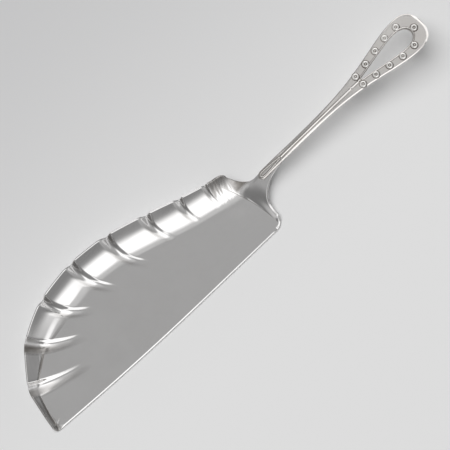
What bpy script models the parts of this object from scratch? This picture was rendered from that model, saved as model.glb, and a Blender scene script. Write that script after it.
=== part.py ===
# A crumb knife: a raised blade with a fluted back wall, a forged handle lapped on its tang,
# and turned studs riveted round the teardrop opening at the handle's end.
# Metres, +Z up. X runs from the blade's tip to the handle's end and Y towards the fluted back.
# While it is modelled, X starts at the tip, Y at the handle's axis and Z at the table.
import math

import bmesh
import bpy
import numpy as np

# Overall
OVERALL_LENGTH = 0.3164     # blade tip to handle end
FIT = 0.0003                # clearance where two pieces meet

# Blade plan
BLADE_LENGTH = 0.178        # tip to heel edge
TIP_DROP = 0.0225           # tip corner below the handle's axis
EDGE_DROP = 0.0286          # cutting edge below the handle's axis
EDGE_BOW = 0.0034           # how far the cutting edge lifts towards the tip
EDGE_BOW_LENGTH = 0.110     # length of the bowed stretch, from the tip
TIP_ROUND = 0.004
HEEL_ROUND = 0.007
RIM_REACH = 0.0391          # rim above the handle's axis, at its widest
RIM_END_REACH = 0.0178      # rim above the axis at the heel end
RIM_END_SETBACK = 0.015     # rim end to heel edge
RIM_END_ROUND = 0.0009      # how far below the rim's end the rounded corner turns
CORNER_REACH = 0.0136       # rounded rim corner above the axis
CORNER_SETBACK = 0.0074     # rounded rim corner to heel edge
THROAT_SETBACK = 0.0018     # turn of the throat, between rim corner and tang, to heel edge
THROAT_REACH = 0.0032       # turn of the throat above the axis
# Rim between tip and heel end, as shares of the blade's length and of the rim's reach
RIM_SHAPE = ((0.0045, -0.33), (0.033, 0.15), (0.132, 0.66), (0.25, 0.90),
             (0.415, 1.0), (0.56, 0.92), (0.70, 0.735), (0.83, 0.55))
LOBE_FLAT = 0.6             # how far each lobe's rim is straightened

# Blade sheet, wall and bevel
SHEET = 0.0012
WALL_HEIGHT = 0.0106
WALL_SPREAD = 0.020         # plan width of the curved wall
WALL_CURVE = 2.1            # power of the wall's section, 1 would be a plain slope
TIP_CURVE = 1.15            # that power at the tip, where the wall meets the floor in a crease
CURVE_START = 0.035         # rim length at which the power starts to grow
CURVE_RUN = 0.045           # rim length over which it grows
WALL_TAPER = 0.100          # rim length over which the wall grows from the tip
TIP_WALL = 0.15             # share of the wall's size which the tip itself has
WALL_FOOT = 1.1 * WALL_SPREAD
HEEL_FALL = 0.15            # share of its height that the wall loses by the heel
HEEL_FALL_LENGTH = 0.040
BEVEL_WIDTH = 0.001
TIP_INSET = (0.0031, 0.0012)  # tip corner to the floor's border
EDGE_THICKNESS = 0.0008

# Flat field that the blade rests on: its corners are the points of the floor's border nearest
# to these shares of the blade's length and of the edge's drop
FOOT_SHAPE = ((0.025, -0.83), (0.961, -0.944), (0.933, -0.105), (0.702, 0.322), (0.311, 0.276))
FOOT_SLOPE = 0.01           # rise of the underside outside that field
FOOT_LIFT = 0.0001          # most of that rise

# Ribs between the lobes of the wall, counted from the tip
LOBE_WIDTHS = (0.026, 0.026, 0.026, 0.026, 0.026, 0.026, 0.0215, 0.0175, 0.006)
RIB_LENGTHS = (0.038, 0.035, 0.0325, 0.032, 0.031, 0.023, 0.0187, 0.0146)
RIB_WIDTH = 0.0102          # at the rim, on the widest lobes
RIB_END_WIDTH = 0.0056      # where the rib dies out in the floor
RIB_HEIGHT = 0.0021
RIB_LEAN = 0.30             # share of the half width by which the crest leans to the heel side
RIB_FADE = 1.5              # power by which a rib's height fades along it
RIB_ROOT = 6.0              # power by which a rib carries the rim's height out over the floor
RIB_BEND = 0.45             # share of a rib's length that leaves square to the rim
RIB_REACH = 1.04            # facets past a rib's end, as a share of its length
RIB_FOOT = 1.25             # least reach of a rib's facets, in wall spreads
FAN_X = 0.100               # the tip's ribs aim at this place on the cutting edge
FAN_START = 0.070           # past this place on the rim, the aim moves to the heel
FAN_SPREAD = 0.74

# Heel wall and tang
CREASE_SETBACK = 0.0033     # foot of the heel wall to heel edge, at the cutting edge's end
CREASE_LEAN = 0.0053        # how far the crease leans to the tip at its back end
CREASE_LENGTH = 0.0271
CREASE_TURN = 0.105         # share of the edge's drop where the crease passes to the tang
CREASE_BACK = 0.6           # share of the rim corner's reach where the crease dies out
HEEL_SLOPE = 0.55           # slope of the heel wall at its foot
STEM_SLOPE = 0.075          # steady slope of tang and stem
SLOPE_EASE = 0.010          # length over which the first slope eases into the second
TANG_LENGTH = 0.027         # heel edge to tang end
TANG_ROOT = 0.004           # heel edge to where the tang's upper side is straight

# Handle
STEM_WIDTH = 0.0048         # tang and stem
STEM_DEPTH = 0.0033
TONGUE_START = 0.006        # heel edge to the tongue's front
TONGUE_ROUND = 0.003
STEM_CROWN = 0.0007
CROWN_START = 0.8           # tongue front to the crown's start, in loop lengths
RIDGE_WIDTH = 0.0012
RIDGE_HEIGHT = 0.00035
RIDGE_SIDE = 0.75           # height of the ridge half way out, as a share
FLARE_START = 0.101         # stem's widening, back from the handle's end
FLARE_POWER = 1.75          # how late the widening comes, 1 would be even
TERMINAL_WIDTH = 0.0238
TERMINAL_DEPTH = 0.0024
END_ROUND = 0.0124          # length of the terminal's rounded end
END_SQUARE = 2.5            # power of the rounded end, 2 would be an ellipse
EDGE_ROUND = 0.0006
EDGE_SHARE = 0.45           # most of the half width that the rounded edge or the ridge takes

# Teardrop opening, its thread, and the small loop on the tongue
EYE_LENGTH = 0.0405
EYE_WIDTH = 0.0109
EYE_MARGIN = 0.0085         # opening to handle end
EYE_TIP_ROUND = 0.0005
TEAR_POWER = 6              # fullness of a teardrop's round end
THREAD_WIDTH = 0.0007
THREAD_MARGIN = 0.0002      # opening to thread
LOOP_LENGTH = 0.016
LOOP_WIDTH = 0.0034
LOOP_MARGIN = 0.0008        # tongue front to loop
LOOP_TIP = 0.6              # radius of the loop's tip, in thread widths

# Studs
STUD_PAIRS = 5
STUD_LEAD = 0.0019          # first pair ahead of the opening's tip
STUD_END = 0.0048           # last pair short of the opening's end
STUD_LEAD_REACH = 0.0031    # first pair from the axis
STUD_GAP = 0.00045          # opening to stud head
STUD_HEAD = 0.0042
STUD_HEAD_HEIGHT = 0.0009
STUD_SEAT = 0.00012         # depth of the flat that each head sits over
STUD_SHANK = 0.0016
STUD_TAIL = 0.0028
STUD_TAIL_HEIGHT = 0.0005
# Head from its middle to its side: shares of its radius and height
STUD_SHAPE = ((0.0, 0.95), (0.22, 0.8), (0.40, 0.4), (0.62, 0.9), (0.80, 1.0), (1.0, 0.55))
TAIL_SHAPE = 0.8            # tail's end as a share of its width

# Facets
ROWS = 12                   # from the floor's border to the outline
CREASE_ROW = 3              # row that follows the heel crease
TIP_LINES = 4
EDGE_LINES = 12
CORNER_LINES = 6
FLARE_LINES = 12
TANG_LINES = 4
THROAT_LINES = 8
BEND_LINES = 5
LOBE_LINES = 4
RIB_LINES = 7
TURNED_SIDES = 14
BORE_SIDES = 12
SEAT_SIDES = 24
THREAD_SIDES = 6
EYE_SIDES = 46
EYE_THREAD_SIDES = 56
LOOP_SIDES = 28
TONGUE_RINGS = 5
STEM_RINGS = 22
TERMINAL_RINGS = 9
END_RINGS = 10
TONGUE_STOP = 0.08          # turn left over at the tongue's front ring, in radians
END_STOP = 0.03             # turn left over at the terminal's last ring, in radians
LAP_LINES = 15

SILVER = (0.80, 0.78, 0.75)

STEM_HALF = STEM_WIDTH / 2
TANG_END = BLADE_LENGTH + TANG_LENGTH
TONGUE_X = BLADE_LENGTH + TONGUE_START
EYE_END = OVERALL_LENGTH - EYE_MARGIN
EYE_TIP = EYE_END - EYE_LENGTH
FLARE_X = OVERALL_LENGTH - FLARE_START
ROUND_X = OVERALL_LENGTH - END_ROUND
LOBE_SHARES = np.cumsum(LOBE_WIDTHS) / np.sum(LOBE_WIDTHS)


# Plane curves

def smooth_step(value):
    value = np.clip(value, 0.0, 1.0)
    return value * value * (3.0 - 2.0 * value)


def bezier(start, control, end, count):
    t = np.linspace(0.0, 1.0, count)[:, None]
    start, control, end = (np.array(p) for p in (start, control, end))
    return (1 - t) ** 2 * start + 2 * t * (1 - t) * control + t ** 2 * end


def spline(points, per_span=40):
    points = np.array(points)
    padded = np.vstack([2 * points[0] - points[1], points, 2 * points[-1] - points[-2]])
    t = np.linspace(0.0, 1.0, per_span, endpoint=False)[:, None]
    spans = []
    for a, b, c, d in zip(padded, padded[1:], padded[2:], padded[3:]):
        spans.append(b + t * (c - a) / 2 + t ** 2 * (a - 2.5 * b + 2 * c - d / 2)
                     + t ** 3 * (1.5 * (b - c) + (d - a) / 2))
    return np.vstack(spans + [points[-1:]])


def arc_length(path):
    return np.concatenate([[0.0], np.cumsum(np.linalg.norm(np.diff(path, axis=0), axis=1))])


def along(path, distance):
    lengths = arc_length(path)
    return np.array([np.interp(distance, lengths, path[:, 0]),
                     np.interp(distance, lengths, path[:, 1])]).T


def teardrop(length, width, offset, sides):
    """Teardrop on the X axis, tip at 0, round end towards +X, grown outward by offset."""
    share = 1 - np.linspace(1.0, 0.0, 400) ** 2
    swell = share * (1 - share ** TEAR_POWER) ** 0.5
    upper = np.column_stack([length * share, width / 2 * swell / swell.max()])
    tangent = np.gradient(upper, axis=0)
    normal = np.column_stack([-tangent[:, 1], tangent[:, 0]])
    normal[-1] = (1.0, 0.0)
    normal /= np.linalg.norm(normal, axis=1)[:, None]
    start = math.atan2(normal[0, 1], normal[0, 0])
    turn = np.linspace(math.pi, start, 8)[:-1]
    cap = offset * np.column_stack([np.cos(turn), np.sin(turn)])
    half = np.vstack([cap, upper + offset * normal])
    count = sides // 2
    half = along(half, arc_length(half)[-1] * (np.arange(count) + 0.5) / count)
    return np.vstack([half[::-1], half * (1, -1)])


# Blade outline

def rim_path():
    shape = [(share_x * BLADE_LENGTH, share_y * RIM_REACH) for share_x, share_y in RIM_SHAPE]
    end = (BLADE_LENGTH - RIM_END_SETBACK, RIM_END_REACH)
    path = spline([(0.0, -TIP_DROP)] + shape + [end])
    lengths = arc_length(path)
    ends = np.concatenate([[0.0], LOBE_SHARES]) * lengths[-1]
    corners = along(path, ends)
    chord = np.column_stack([np.interp(lengths, ends, corners[:, axis]) for axis in (0, 1)])
    return path + LOBE_FLAT * (chord - path)


def edge_y(x):
    bow = np.clip(1 - x / EDGE_BOW_LENGTH, 0.0, 1.0)
    return -EDGE_DROP + EDGE_BOW * bow ** 2


def crease_x(y):
    lean = np.clip((y + EDGE_DROP - HEEL_ROUND / 2) / CREASE_LENGTH, 0.0, None)
    return BLADE_LENGTH - CREASE_SETBACK - CREASE_LEAN * lean ** 2


RIM = rim_path()
RIM_LENGTH = arc_length(RIM)[-1]


# Shape of the sheet's underside

def spine_height(run):
    """Height over the crease's level of the heel wall, tang and stem, along their length."""
    ease = SLOPE_EASE * (1 - np.exp(-run / SLOPE_EASE))
    return STEM_SLOPE * run + (HEEL_SLOPE - STEM_SLOPE) * ease


def spine(x):
    return FOOT_LIFT + spine_height(np.clip(x - crease_x(0.0), 0.0, None))


def spine_slope(x):
    run = x - crease_x(0.0)
    return STEM_SLOPE + (HEEL_SLOPE - STEM_SLOPE) * math.exp(-run / SLOPE_EASE)


def rim_frame():
    """Rim points with their inward normals and lengths, run on straight past the heel end."""
    tangent = np.gradient(RIM, axis=0)
    tangent /= np.linalg.norm(tangent, axis=1)[:, None]
    run_on = np.linspace(0.0, 2 * RIM_END_SETBACK, 40)[1:, None]
    points = np.vstack([RIM, RIM[-1] + run_on * tangent[-1]])
    tangents = np.vstack([tangent, np.repeat(tangent[-1:], len(run_on), axis=0)])
    return points, np.column_stack([tangents[:, 1], -tangents[:, 0]]), arc_length(points)


RIM_POINTS, RIM_INWARD, RIM_LENGTHS = rim_frame()


def back_wall(points):
    gap = points[:, None, :] - RIM_POINTS[None, :, :]
    nearest = np.argmin((gap ** 2).sum(axis=2), axis=1)
    depth = (gap[np.arange(len(points)), nearest] * RIM_INWARD[nearest]).sum(axis=1)
    length = RIM_LENGTHS[nearest]
    grow = np.sin(math.pi / 2 * np.clip(length / WALL_TAPER, 0.0, 1.0)) ** 2
    grow = TIP_WALL + (1 - TIP_WALL) * grow
    curve = TIP_CURVE + (WALL_CURVE - TIP_CURVE) * smooth_step((length - CURVE_START) / CURVE_RUN)
    fall = 1 - HEEL_FALL * smooth_step(1 - (RIM_LENGTH - length) / HEEL_FALL_LENGTH)
    past = (points[:, 0] - BLADE_LENGTH + CORNER_SETBACK) / (CORNER_SETBACK + TONGUE_START)
    rise = np.clip(1 - depth / (WALL_SPREAD * grow), 0.0, None)
    return WALL_HEIGHT * grow * fall * (1 - smooth_step(past)) * rise ** curve


def heel_wall(points):
    x, y = points.T
    level = smooth_step((x - (BLADE_LENGTH - CREASE_SETBACK)) / (TONGUE_START + CREASE_SETBACK))
    foot = crease_x(y) + (crease_x(0.0) - crease_x(y)) * level
    fade = smooth_step((y + EDGE_DROP) / HEEL_ROUND)
    return spine_height(np.clip(x - foot, 0.0, None)) * fade


def underside(points):
    return np.hypot(back_wall(points), heel_wall(points))


def foot_corners(border):
    places = np.array(FOOT_SHAPE) * (BLADE_LENGTH, EDGE_DROP)
    gap = places[:, None, :] - border[None, :, :]
    return border[np.argmin((gap ** 2).sum(axis=2), axis=1)]


def foot_lift(points, foot):
    """Rise outside the flat field, whose corners run anticlockwise."""
    side = np.roll(foot, -1, axis=0) - foot
    outward = np.column_stack([side[:, 1], -side[:, 0]])
    outward /= np.linalg.norm(outward, axis=1)[:, None]
    beyond = ((points[:, None, :] - foot) * outward).sum(axis=2).max(axis=1)
    return np.clip(FOOT_SLOPE * beyond, 0.0, FOOT_LIFT)


def underside_normals(points):
    step = SHEET / 20
    slopes = []
    for shift in ((step, 0.0), (0.0, step)):
        slopes.append((underside(points + shift) - underside(points - np.array(shift))) / (2 * step))
    normals = np.column_stack([-slopes[0], -slopes[1], np.ones(len(points))])
    return normals / np.linalg.norm(normals, axis=1)[:, None]


# Blade stations: each is a path from the floor's border to the outline, with its rib height
# and its edge thickness, and together they run once round the blade

def station(path, rib=None, edge=SHEET):
    rib = np.zeros(ROWS + 1) if rib is None else rib
    return {"path": path, "rib": rib, "edge": edge}


def straight(inner, outer):
    t = np.linspace(0.0, 1.0, ROWS + 1)[:, None]
    return (1 - t) * np.array(inner) + t * np.array(outer)


def kneed(inner, knee, outer):
    first = np.linspace(0.0, 1.0, CREASE_ROW, endpoint=False)[:, None]
    last = np.linspace(0.0, 1.0, ROWS + 1 - CREASE_ROW)[:, None]
    inner, knee, outer = (np.array(p) for p in (inner, knee, outer))
    return np.vstack([(1 - first) * inner + first * knee, (1 - last) * knee + last * outer])


def edge_stations():
    tip_end = (TIP_ROUND, edge_y(TIP_ROUND))
    tip_turn = (0.0, edge_y(TIP_ROUND / 2))
    tip = bezier((0.0, -TIP_DROP), tip_turn, tip_end, TIP_LINES + 1)[1:]
    run = np.linspace(TIP_ROUND, BLADE_LENGTH - HEEL_ROUND, EDGE_LINES + 1)[1:]
    outer = np.vstack([tip, np.column_stack([run, edge_y(run)])])
    inner = outer + (0.0, BEVEL_WIDTH)
    start = np.array(TIP_INSET) - (0.0, TIP_DROP)
    share = np.linspace(0.0, 1.0, TIP_LINES + 1)[1:, None]
    inner[:TIP_LINES] = start + share * (inner[TIP_LINES] - start)
    return [station(straight(a, b), edge=EDGE_THICKNESS) for a, b in zip(inner, outer)]


def floor_border(y):
    """Floor border just ahead of the crease."""
    return (crease_x(y) - BEVEL_WIDTH, y)


def heel_stations():
    made = []
    bottom = -EDGE_DROP + HEEL_ROUND
    corner = np.array((BLADE_LENGTH - HEEL_ROUND, bottom))
    foot = bottom - BEVEL_WIDTH
    for share in np.linspace(0.0, 1.0, CORNER_LINES + 1)[1:]:
        turn = math.pi / 2 * (share - 1)
        outer = corner + HEEL_ROUND * np.array((math.cos(turn), math.sin(turn)))
        inner_y = -EDGE_DROP + BEVEL_WIDTH + share * (foot + EDGE_DROP - BEVEL_WIDTH)
        inner_x = corner[0] + share * (floor_border(foot)[0] - corner[0])
        knee_x = inner_x + share * BEVEL_WIDTH
        edge = EDGE_THICKNESS + share * (SHEET - EDGE_THICKNESS)
        made.append(station(kneed((inner_x, inner_y), (knee_x, inner_y), outer), edge=edge))

    turn_y = -CREASE_TURN * EDGE_DROP
    flare_turn = (BLADE_LENGTH, -STEM_HALF)
    flare = bezier((BLADE_LENGTH, bottom), flare_turn, (TANG_END, -STEM_HALF), FLARE_LINES + 1)
    for outer in flare[1:]:
        y = foot + (outer[1] - bottom) / (-STEM_HALF - bottom) * (turn_y - foot)
        made.append(station(kneed(floor_border(y), (crease_x(y), y), outer)))

    for share in np.linspace(0.0, 1.0, TANG_LINES + 1)[1:-1]:
        y = turn_y + share * (-STEM_HALF - turn_y)
        outer = (TANG_END, (2 * share - 1) * STEM_HALF)
        made.append(station(kneed(floor_border(y), (crease_x(y), y), outer)))
    return made


def shoulder_stations():
    """From the tang's upper side, round the throat and the rim's corner, to the rim's end."""
    root = (BLADE_LENGTH + TANG_ROOT, STEM_HALF)
    corner = (BLADE_LENGTH - CORNER_SETBACK, CORNER_REACH)
    rim_end = RIM[-1]
    tang_x = np.linspace(TANG_END, root[0], TANG_LINES + 1)[:-1]
    tang = np.column_stack([tang_x, np.full(TANG_LINES, STEM_HALF)])
    throat_turn = (BLADE_LENGTH - THROAT_SETBACK, THROAT_REACH)
    throat = bezier(root, throat_turn, corner, THROAT_LINES + 1)[:-1]
    bend_turn = (corner[0], rim_end[1] - RIM_END_ROUND)
    bend = bezier(corner, bend_turn, rim_end, BEND_LINES + 1)
    outer = np.vstack([tang, throat, bend])
    share = np.linspace(0.0, 1.0, len(outer))
    knee_y = -STEM_HALF + share * (CORNER_REACH - STEM_HALF) * CREASE_BACK
    knee = np.column_stack([crease_x(knee_y), knee_y])
    inner_start = np.array(floor_border(-STEM_HALF))
    inner_end = rim_end - (0.0, WALL_FOOT)
    inner = inner_start + share[:, None] * (inner_end - inner_start)
    knee_end = inner_end + (rim_end - inner_end) * CREASE_ROW / ROWS
    settle = smooth_step((share - CREASE_BACK) / (1 - CREASE_BACK))[:, None]
    knee = knee + settle * (knee_end - knee)
    return [station(kneed(*three)) for three in zip(inner, knee, outer)]


def rib_lines():
    """For each rib: its place and half width on the rim, its path inward and its heights there."""
    widest = max(LOBE_WIDTHS)
    t = np.linspace(0.0, 1.0, ROWS + 1)[:, None]
    ribs = []
    for number, rib_length in enumerate(RIB_LENGTHS):
        length = LOBE_SHARES[number] * RIM_LENGTH
        place = along(RIM, length)
        nearest = np.argmin(np.abs(RIM_LENGTHS - length))
        aim = np.array((FAN_X + FAN_SPREAD * max(0.0, place[0] - FAN_START), -EDGE_DROP)) - place
        aim /= np.linalg.norm(aim)
        reach = max(rib_length * RIB_REACH, WALL_SPREAD * RIB_FOOT)
        inward = RIM_INWARD[nearest]
        control = inward * reach * RIB_BEND
        end_way = aim * reach - control
        end_side = np.array((-end_way[1], end_way[0])) / np.linalg.norm(end_way)
        rim_side = np.array((-inward[1], inward[0]))
        lobes = (LOBE_WIDTHS[number] + LOBE_WIDTHS[number + 1]) / 2
        scale = min(1.0, lobes / widest)
        fade = np.clip(1 - t[:, 0] * reach / rib_length, 0.0, 1.0)
        path = 2 * t * (1 - t) * control + t ** 2 * aim * reach
        wall = back_wall(place + path)
        root = np.clip(wall[0] * fade ** RIB_ROOT - wall, 0.0, None)
        ribs.append({"length": length, "half": RIB_WIDTH * scale / 2, "path": path,
                     "narrow": t * scale / 2 * (RIB_END_WIDTH * end_side - RIB_WIDTH * rim_side),
                     "height": RIB_HEIGHT * scale * fade ** RIB_FADE, "root": root})
    return ribs


def rim_station(length, move, rib=None):
    """Station whose outer end lies on the rim and whose moves run inward from there."""
    path = along(RIM, length) + move
    return station(path[::-1], None if rib is None else rib[::-1])


def rim_stations():
    """The fluted wall, from the heel end to the tip."""
    ribs = rib_lines()
    t = np.linspace(0.0, 1.0, ROWS + 1)[:, None]
    heel_move = t * np.array((0.0, -WALL_FOOT))
    tip_move = t * np.array(TIP_INSET)
    made = []
    last_length, last_move = RIM_LENGTH, heel_move
    for rib in reversed(ribs):
        across = np.linspace(1.0, -1.0, RIB_LINES)
        places = rib["length"] + across * rib["half"]
        moves = [rib["path"] + o * rib["narrow"] for o in across]
        made += lobe_stations(last_length, last_move, places[0], moves[0])
        for o, place, move in zip(across, places, moves):
            bump = 0.5 + 0.5 * math.cos(math.pi * (o - RIB_LEAN * (1 - o ** 2)))
            broad = (1 - o ** 4) ** 2
            made.append(rim_station(place, move, rib["height"] * bump + rib["root"] * broad))
        last_length, last_move = places[-1], moves[-1]
    made += lobe_stations(last_length, last_move, 0.0, tip_move)
    made.append(rim_station(0.0, tip_move))
    return made


def lobe_stations(start, start_move, end, end_move):
    shares = np.linspace(0.0, 1.0, LOBE_LINES + 2)[1:-1]
    return [rim_station(start + s * (end - start), (1 - s) * start_move + s * end_move)
            for s in shares]


# Meshes

def silver(name, roughness):
    material = bpy.data.materials.new(name)
    material.use_nodes = True
    shader = material.node_tree.nodes["Principled BSDF"]
    shader.inputs["Base Color"].default_value = (*SILVER, 1.0)
    shader.inputs["Metallic"].default_value = 1.0
    shader.inputs["Roughness"].default_value = roughness
    return material


def mesh_object(name, points, faces, material=None):
    mesh = bpy.data.meshes.new(name)
    mesh.from_pydata([tuple(map(float, p)) for p in points], [], faces)
    mesh.validate()
    made = bpy.data.objects.new(name, mesh)
    bpy.context.collection.objects.link(made)
    if material:
        mesh.materials.append(material)
        mesh.shade_smooth()
        mesh.set_sharp_from_angle(angle=math.radians(35))
    return made


def cutter(name, points, faces):
    made = mesh_object(name, points, faces)
    made.hide_render = True
    made.display_type = "WIRE"
    return made


def face_outward(made):
    solid = bmesh.new()
    solid.from_mesh(made.data)
    bmesh.ops.recalc_face_normals(solid, faces=solid.faces)
    solid.to_mesh(made.data)
    solid.free()


def tube_faces(rings, sides, closed=False):
    """Quads between rings of points, and a cap at each end unless the rings close on themselves."""
    faces = []
    for ring in range(rings if closed else rings - 1):
        a = ring * sides
        b = (ring + 1) % rings * sides
        for side in range(sides):
            after = (side + 1) % sides
            faces.append((a + side, a + after, b + after, b + side))
    if not closed:
        faces.append(tuple(reversed(range(sides))))
        faces.append(tuple(range((rings - 1) * sides, rings * sides)))
    return faces


def floor_rings(level, count):
    """Stations round the flat field, and round each strip from it to a lifted run of the border."""
    rings = [list(level)]
    for start, end in zip(level, np.roll(level, -1)):
        run = (end - start) % count
        if run > 1:
            rings.append([(start + step) % count for step in range(run + 1)])
    return rings


def build_blade(material):
    stations = edge_stations() + heel_stations() + shoulder_stations() + rim_stations()[1:]
    count = len(stations)
    rows = ROWS + 1
    plan = np.vstack([s["path"] for s in stations])
    normals = underside_normals(plan)
    rib = np.concatenate([s["rib"] for s in stations])[:, None]
    edge = np.repeat([s["edge"] for s in stations], rows)
    thickness = (SHEET + (edge - SHEET) * np.tile(np.linspace(0.0, 1.0, rows), count))[:, None]
    lift = foot_lift(plan, foot_corners(plan[::rows]))
    lower = np.column_stack([plan, underside(plan) + lift]) + normals * rib
    upper = lower + normals * thickness

    faces = []
    for ring in floor_rings(np.flatnonzero(np.isclose(lift[::rows], 0.0)), count):
        faces.append(tuple(int(s) * rows for s in reversed(ring)))
        faces.append(tuple(int(s) * rows + count * rows for s in ring))
    for s in range(count):
        a, b = s * rows, (s + 1) % count * rows
        for r in range(ROWS):
            low = (a + r, b + r, b + r + 1, a + r + 1)
            faces.append(low)
            faces.append(tuple(v + count * rows for v in reversed(low)))
        outer_a, outer_b = a + ROWS, b + ROWS
        faces.append((outer_a, outer_b, outer_b + count * rows, outer_a + count * rows))
    return mesh_object("blade", np.vstack([lower, upper]), faces, material)


def half_width(x):
    """Half width of tongue, stem and terminal."""
    share = np.clip((x - FLARE_X) / (ROUND_X - FLARE_X), 0.0, 1.0) ** FLARE_POWER
    width = STEM_HALF + (TERMINAL_WIDTH / 2 - STEM_HALF) * smooth_step(share)
    end = np.clip((x - ROUND_X) / END_ROUND, 0.0, 1.0) ** END_SQUARE
    front = np.clip((TONGUE_X + TONGUE_ROUND - x) / TONGUE_ROUND, 0.0, 1.0) ** 2
    return width * (1 - end) ** (1 / END_SQUARE) * (1 - front) ** 0.5


def handle_top(x):
    return spine(x) + STEM_DEPTH


def stem_share(x):
    """1 along the plain stem, 0 on the tongue's front and on the terminal."""
    rise = smooth_step((x - TONGUE_X) / LOOP_LENGTH - CROWN_START)
    return rise * (1 - smooth_step((x - FLARE_X) / (EYE_TIP - STUD_HEAD - FLARE_X)))


def handle_section(x):
    half = half_width(x)
    top = handle_top(x)
    thin = smooth_step((x - FLARE_X) / (FLARE_START - EYE_LENGTH))
    bottom = top - STEM_DEPTH + (STEM_DEPTH - TERMINAL_DEPTH) * thin
    round_off = min(EDGE_ROUND, EDGE_SHARE * half)
    inner = half - round_off
    ridge_half = min(RIDGE_WIDTH / 2, EDGE_SHARE * inner)
    ridge_start = TONGUE_X + LOOP_MARGIN + LOOP_LENGTH
    ridge = RIDGE_HEIGHT * smooth_step((x - ridge_start) / RIDGE_WIDTH)
    ridge *= smooth_step((EYE_TIP - x) / RIDGE_WIDTH)
    crown = STEM_CROWN * stem_share(x)
    across = (-inner, -(inner + ridge_half) / 2, -ridge_half, -ridge_half / 2, 0.0)
    lift = (0.0, 0.0, 0.0, RIDGE_SIDE, 1.0)
    upper = [(y, top - crown * (y / half) ** 2 + ridge * up) for y, up in zip(across, lift)]
    left = [(-inner, bottom), (-half, bottom + round_off), (-half, upper[0][1] - round_off)] + upper
    right = [(-y, z) for y, z in reversed(left[:-1])]
    return [(x, y, z) for y, z in left + right]


def thread_ring(outline):
    """Round thread along a closed plan outline, half sunk in the handle's top."""
    tangent = np.roll(outline, -1, axis=0) - np.roll(outline, 1, axis=0)
    tangent /= np.linalg.norm(tangent, axis=1)[:, None]
    points = []
    for (x, y), (tx, ty) in zip(outline, tangent):
        for turn in (np.arange(THREAD_SIDES) + 0.5) * 2 * math.pi / THREAD_SIDES:
            reach = THREAD_WIDTH / 2 * math.cos(turn)
            level = handle_top(x) + THREAD_WIDTH / 2 * math.sin(turn)
            points.append((x + ty * reach, y - tx * reach, level))
    return points, tube_faces(len(outline), THREAD_SIDES, closed=True)


def prism(outline, low, high):
    points = [(x, y, z) for z in (low, high) for x, y in outline]
    return points, tube_faces(2, len(outline))


def eye_outline(offset, sides):
    grown = EYE_TIP_ROUND + offset
    core_length = EYE_LENGTH - 2 * EYE_TIP_ROUND
    core_width = EYE_WIDTH - 2 * EYE_TIP_ROUND
    return teardrop(core_length, core_width, grown, sides) + (EYE_TIP + EYE_TIP_ROUND, 0.0)


def eye_half_width(x):
    outline = eye_outline(0.0, 200)
    upper = outline[outline[:, 1] >= 0]
    order = np.argsort(upper[:, 0])
    return float(np.interp(x, upper[order, 0], upper[order, 1]))


def loop_outline(sides):
    """Middle of the small loop's thread on the tongue, its tip towards the stem."""
    tip_round = LOOP_TIP * THREAD_WIDTH
    inset = THREAD_WIDTH + 2 * tip_round
    outline = teardrop(LOOP_LENGTH - inset, LOOP_WIDTH - inset, tip_round, sides)
    tip = TONGUE_X + LOOP_MARGIN + LOOP_LENGTH - inset / 2
    return np.column_stack([tip - outline[:, 0], -outline[:, 1]])


def stud_places():
    """Centre of each stud's seat: the stud at the end, the pair ahead of the opening, the rest."""
    beside = STUD_GAP + STUD_HEAD / 2
    first = EYE_TIP - STUD_LEAD
    pitch = (EYE_LENGTH + STUD_LEAD - STUD_END) / (STUD_PAIRS - 1)
    places = [(EYE_END + beside, 0.0), (first, STUD_LEAD_REACH), (first, -STUD_LEAD_REACH)]
    for pair in range(1, STUD_PAIRS):
        x = first + pair * pitch
        y = eye_half_width(x) + beside
        places += [(x, y), (x, -y)]
    return places


def turned(profile, sides):
    """Solid of revolution about Z from a profile that runs top to bottom, ends on the axis."""
    points = [(0.0, 0.0, profile[0][1])]
    for radius, z in profile[1:-1]:
        for side in range(sides):
            turn = 2 * math.pi * side / sides
            points.append((radius * math.cos(turn), radius * math.sin(turn), z))
    points.append((0.0, 0.0, profile[-1][1]))
    rings = len(profile) - 2
    faces = []
    for side in range(sides):
        after = (side + 1) % sides
        faces.append((0, 1 + side, 1 + after))
        last = 1 + (rings - 1) * sides
        faces.append((len(points) - 1, last + after, last + side))
        for ring in range(rings - 1):
            a = 1 + ring * sides
            b = a + sides
            faces.append((a + side, b + side, b + after, a + after))
    return points, faces


def stud_profile():
    """Ringed head with a centre pip, shank through the terminal, peened tail below."""
    shank = STUD_SHANK / 2
    tail = STUD_TAIL / 2
    head_low = FIT - STUD_SEAT
    tail_top = -TERMINAL_DEPTH - FIT
    tail_low = tail_top - STUD_TAIL_HEIGHT
    head = [(r * STUD_HEAD / 2, head_low + z * STUD_HEAD_HEIGHT) for r, z in STUD_SHAPE]
    return head + [(STUD_HEAD / 2, head_low), (shank, head_low), (shank, tail_top),
                   (tail, tail_top), (TAIL_SHAPE * tail, tail_low), (0.0, tail_low)]


def handle_stations():
    turn = np.linspace(TONGUE_STOP, math.pi / 2, TONGUE_RINGS)
    front = TONGUE_X + TONGUE_ROUND * (1 - np.cos(turn))
    ridge_end = EYE_TIP - RIDGE_WIDTH
    stem = np.linspace(front[-1], ridge_end, STEM_RINGS)[1:]
    terminal = np.linspace(ridge_end, ROUND_X, TERMINAL_RINGS)[1:]
    end_turn = np.linspace(0.0, math.pi / 2 - END_STOP, END_RINGS)[1:]
    end = ROUND_X + END_ROUND * np.sin(end_turn)
    return np.concatenate([front, stem, terminal, end])


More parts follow.
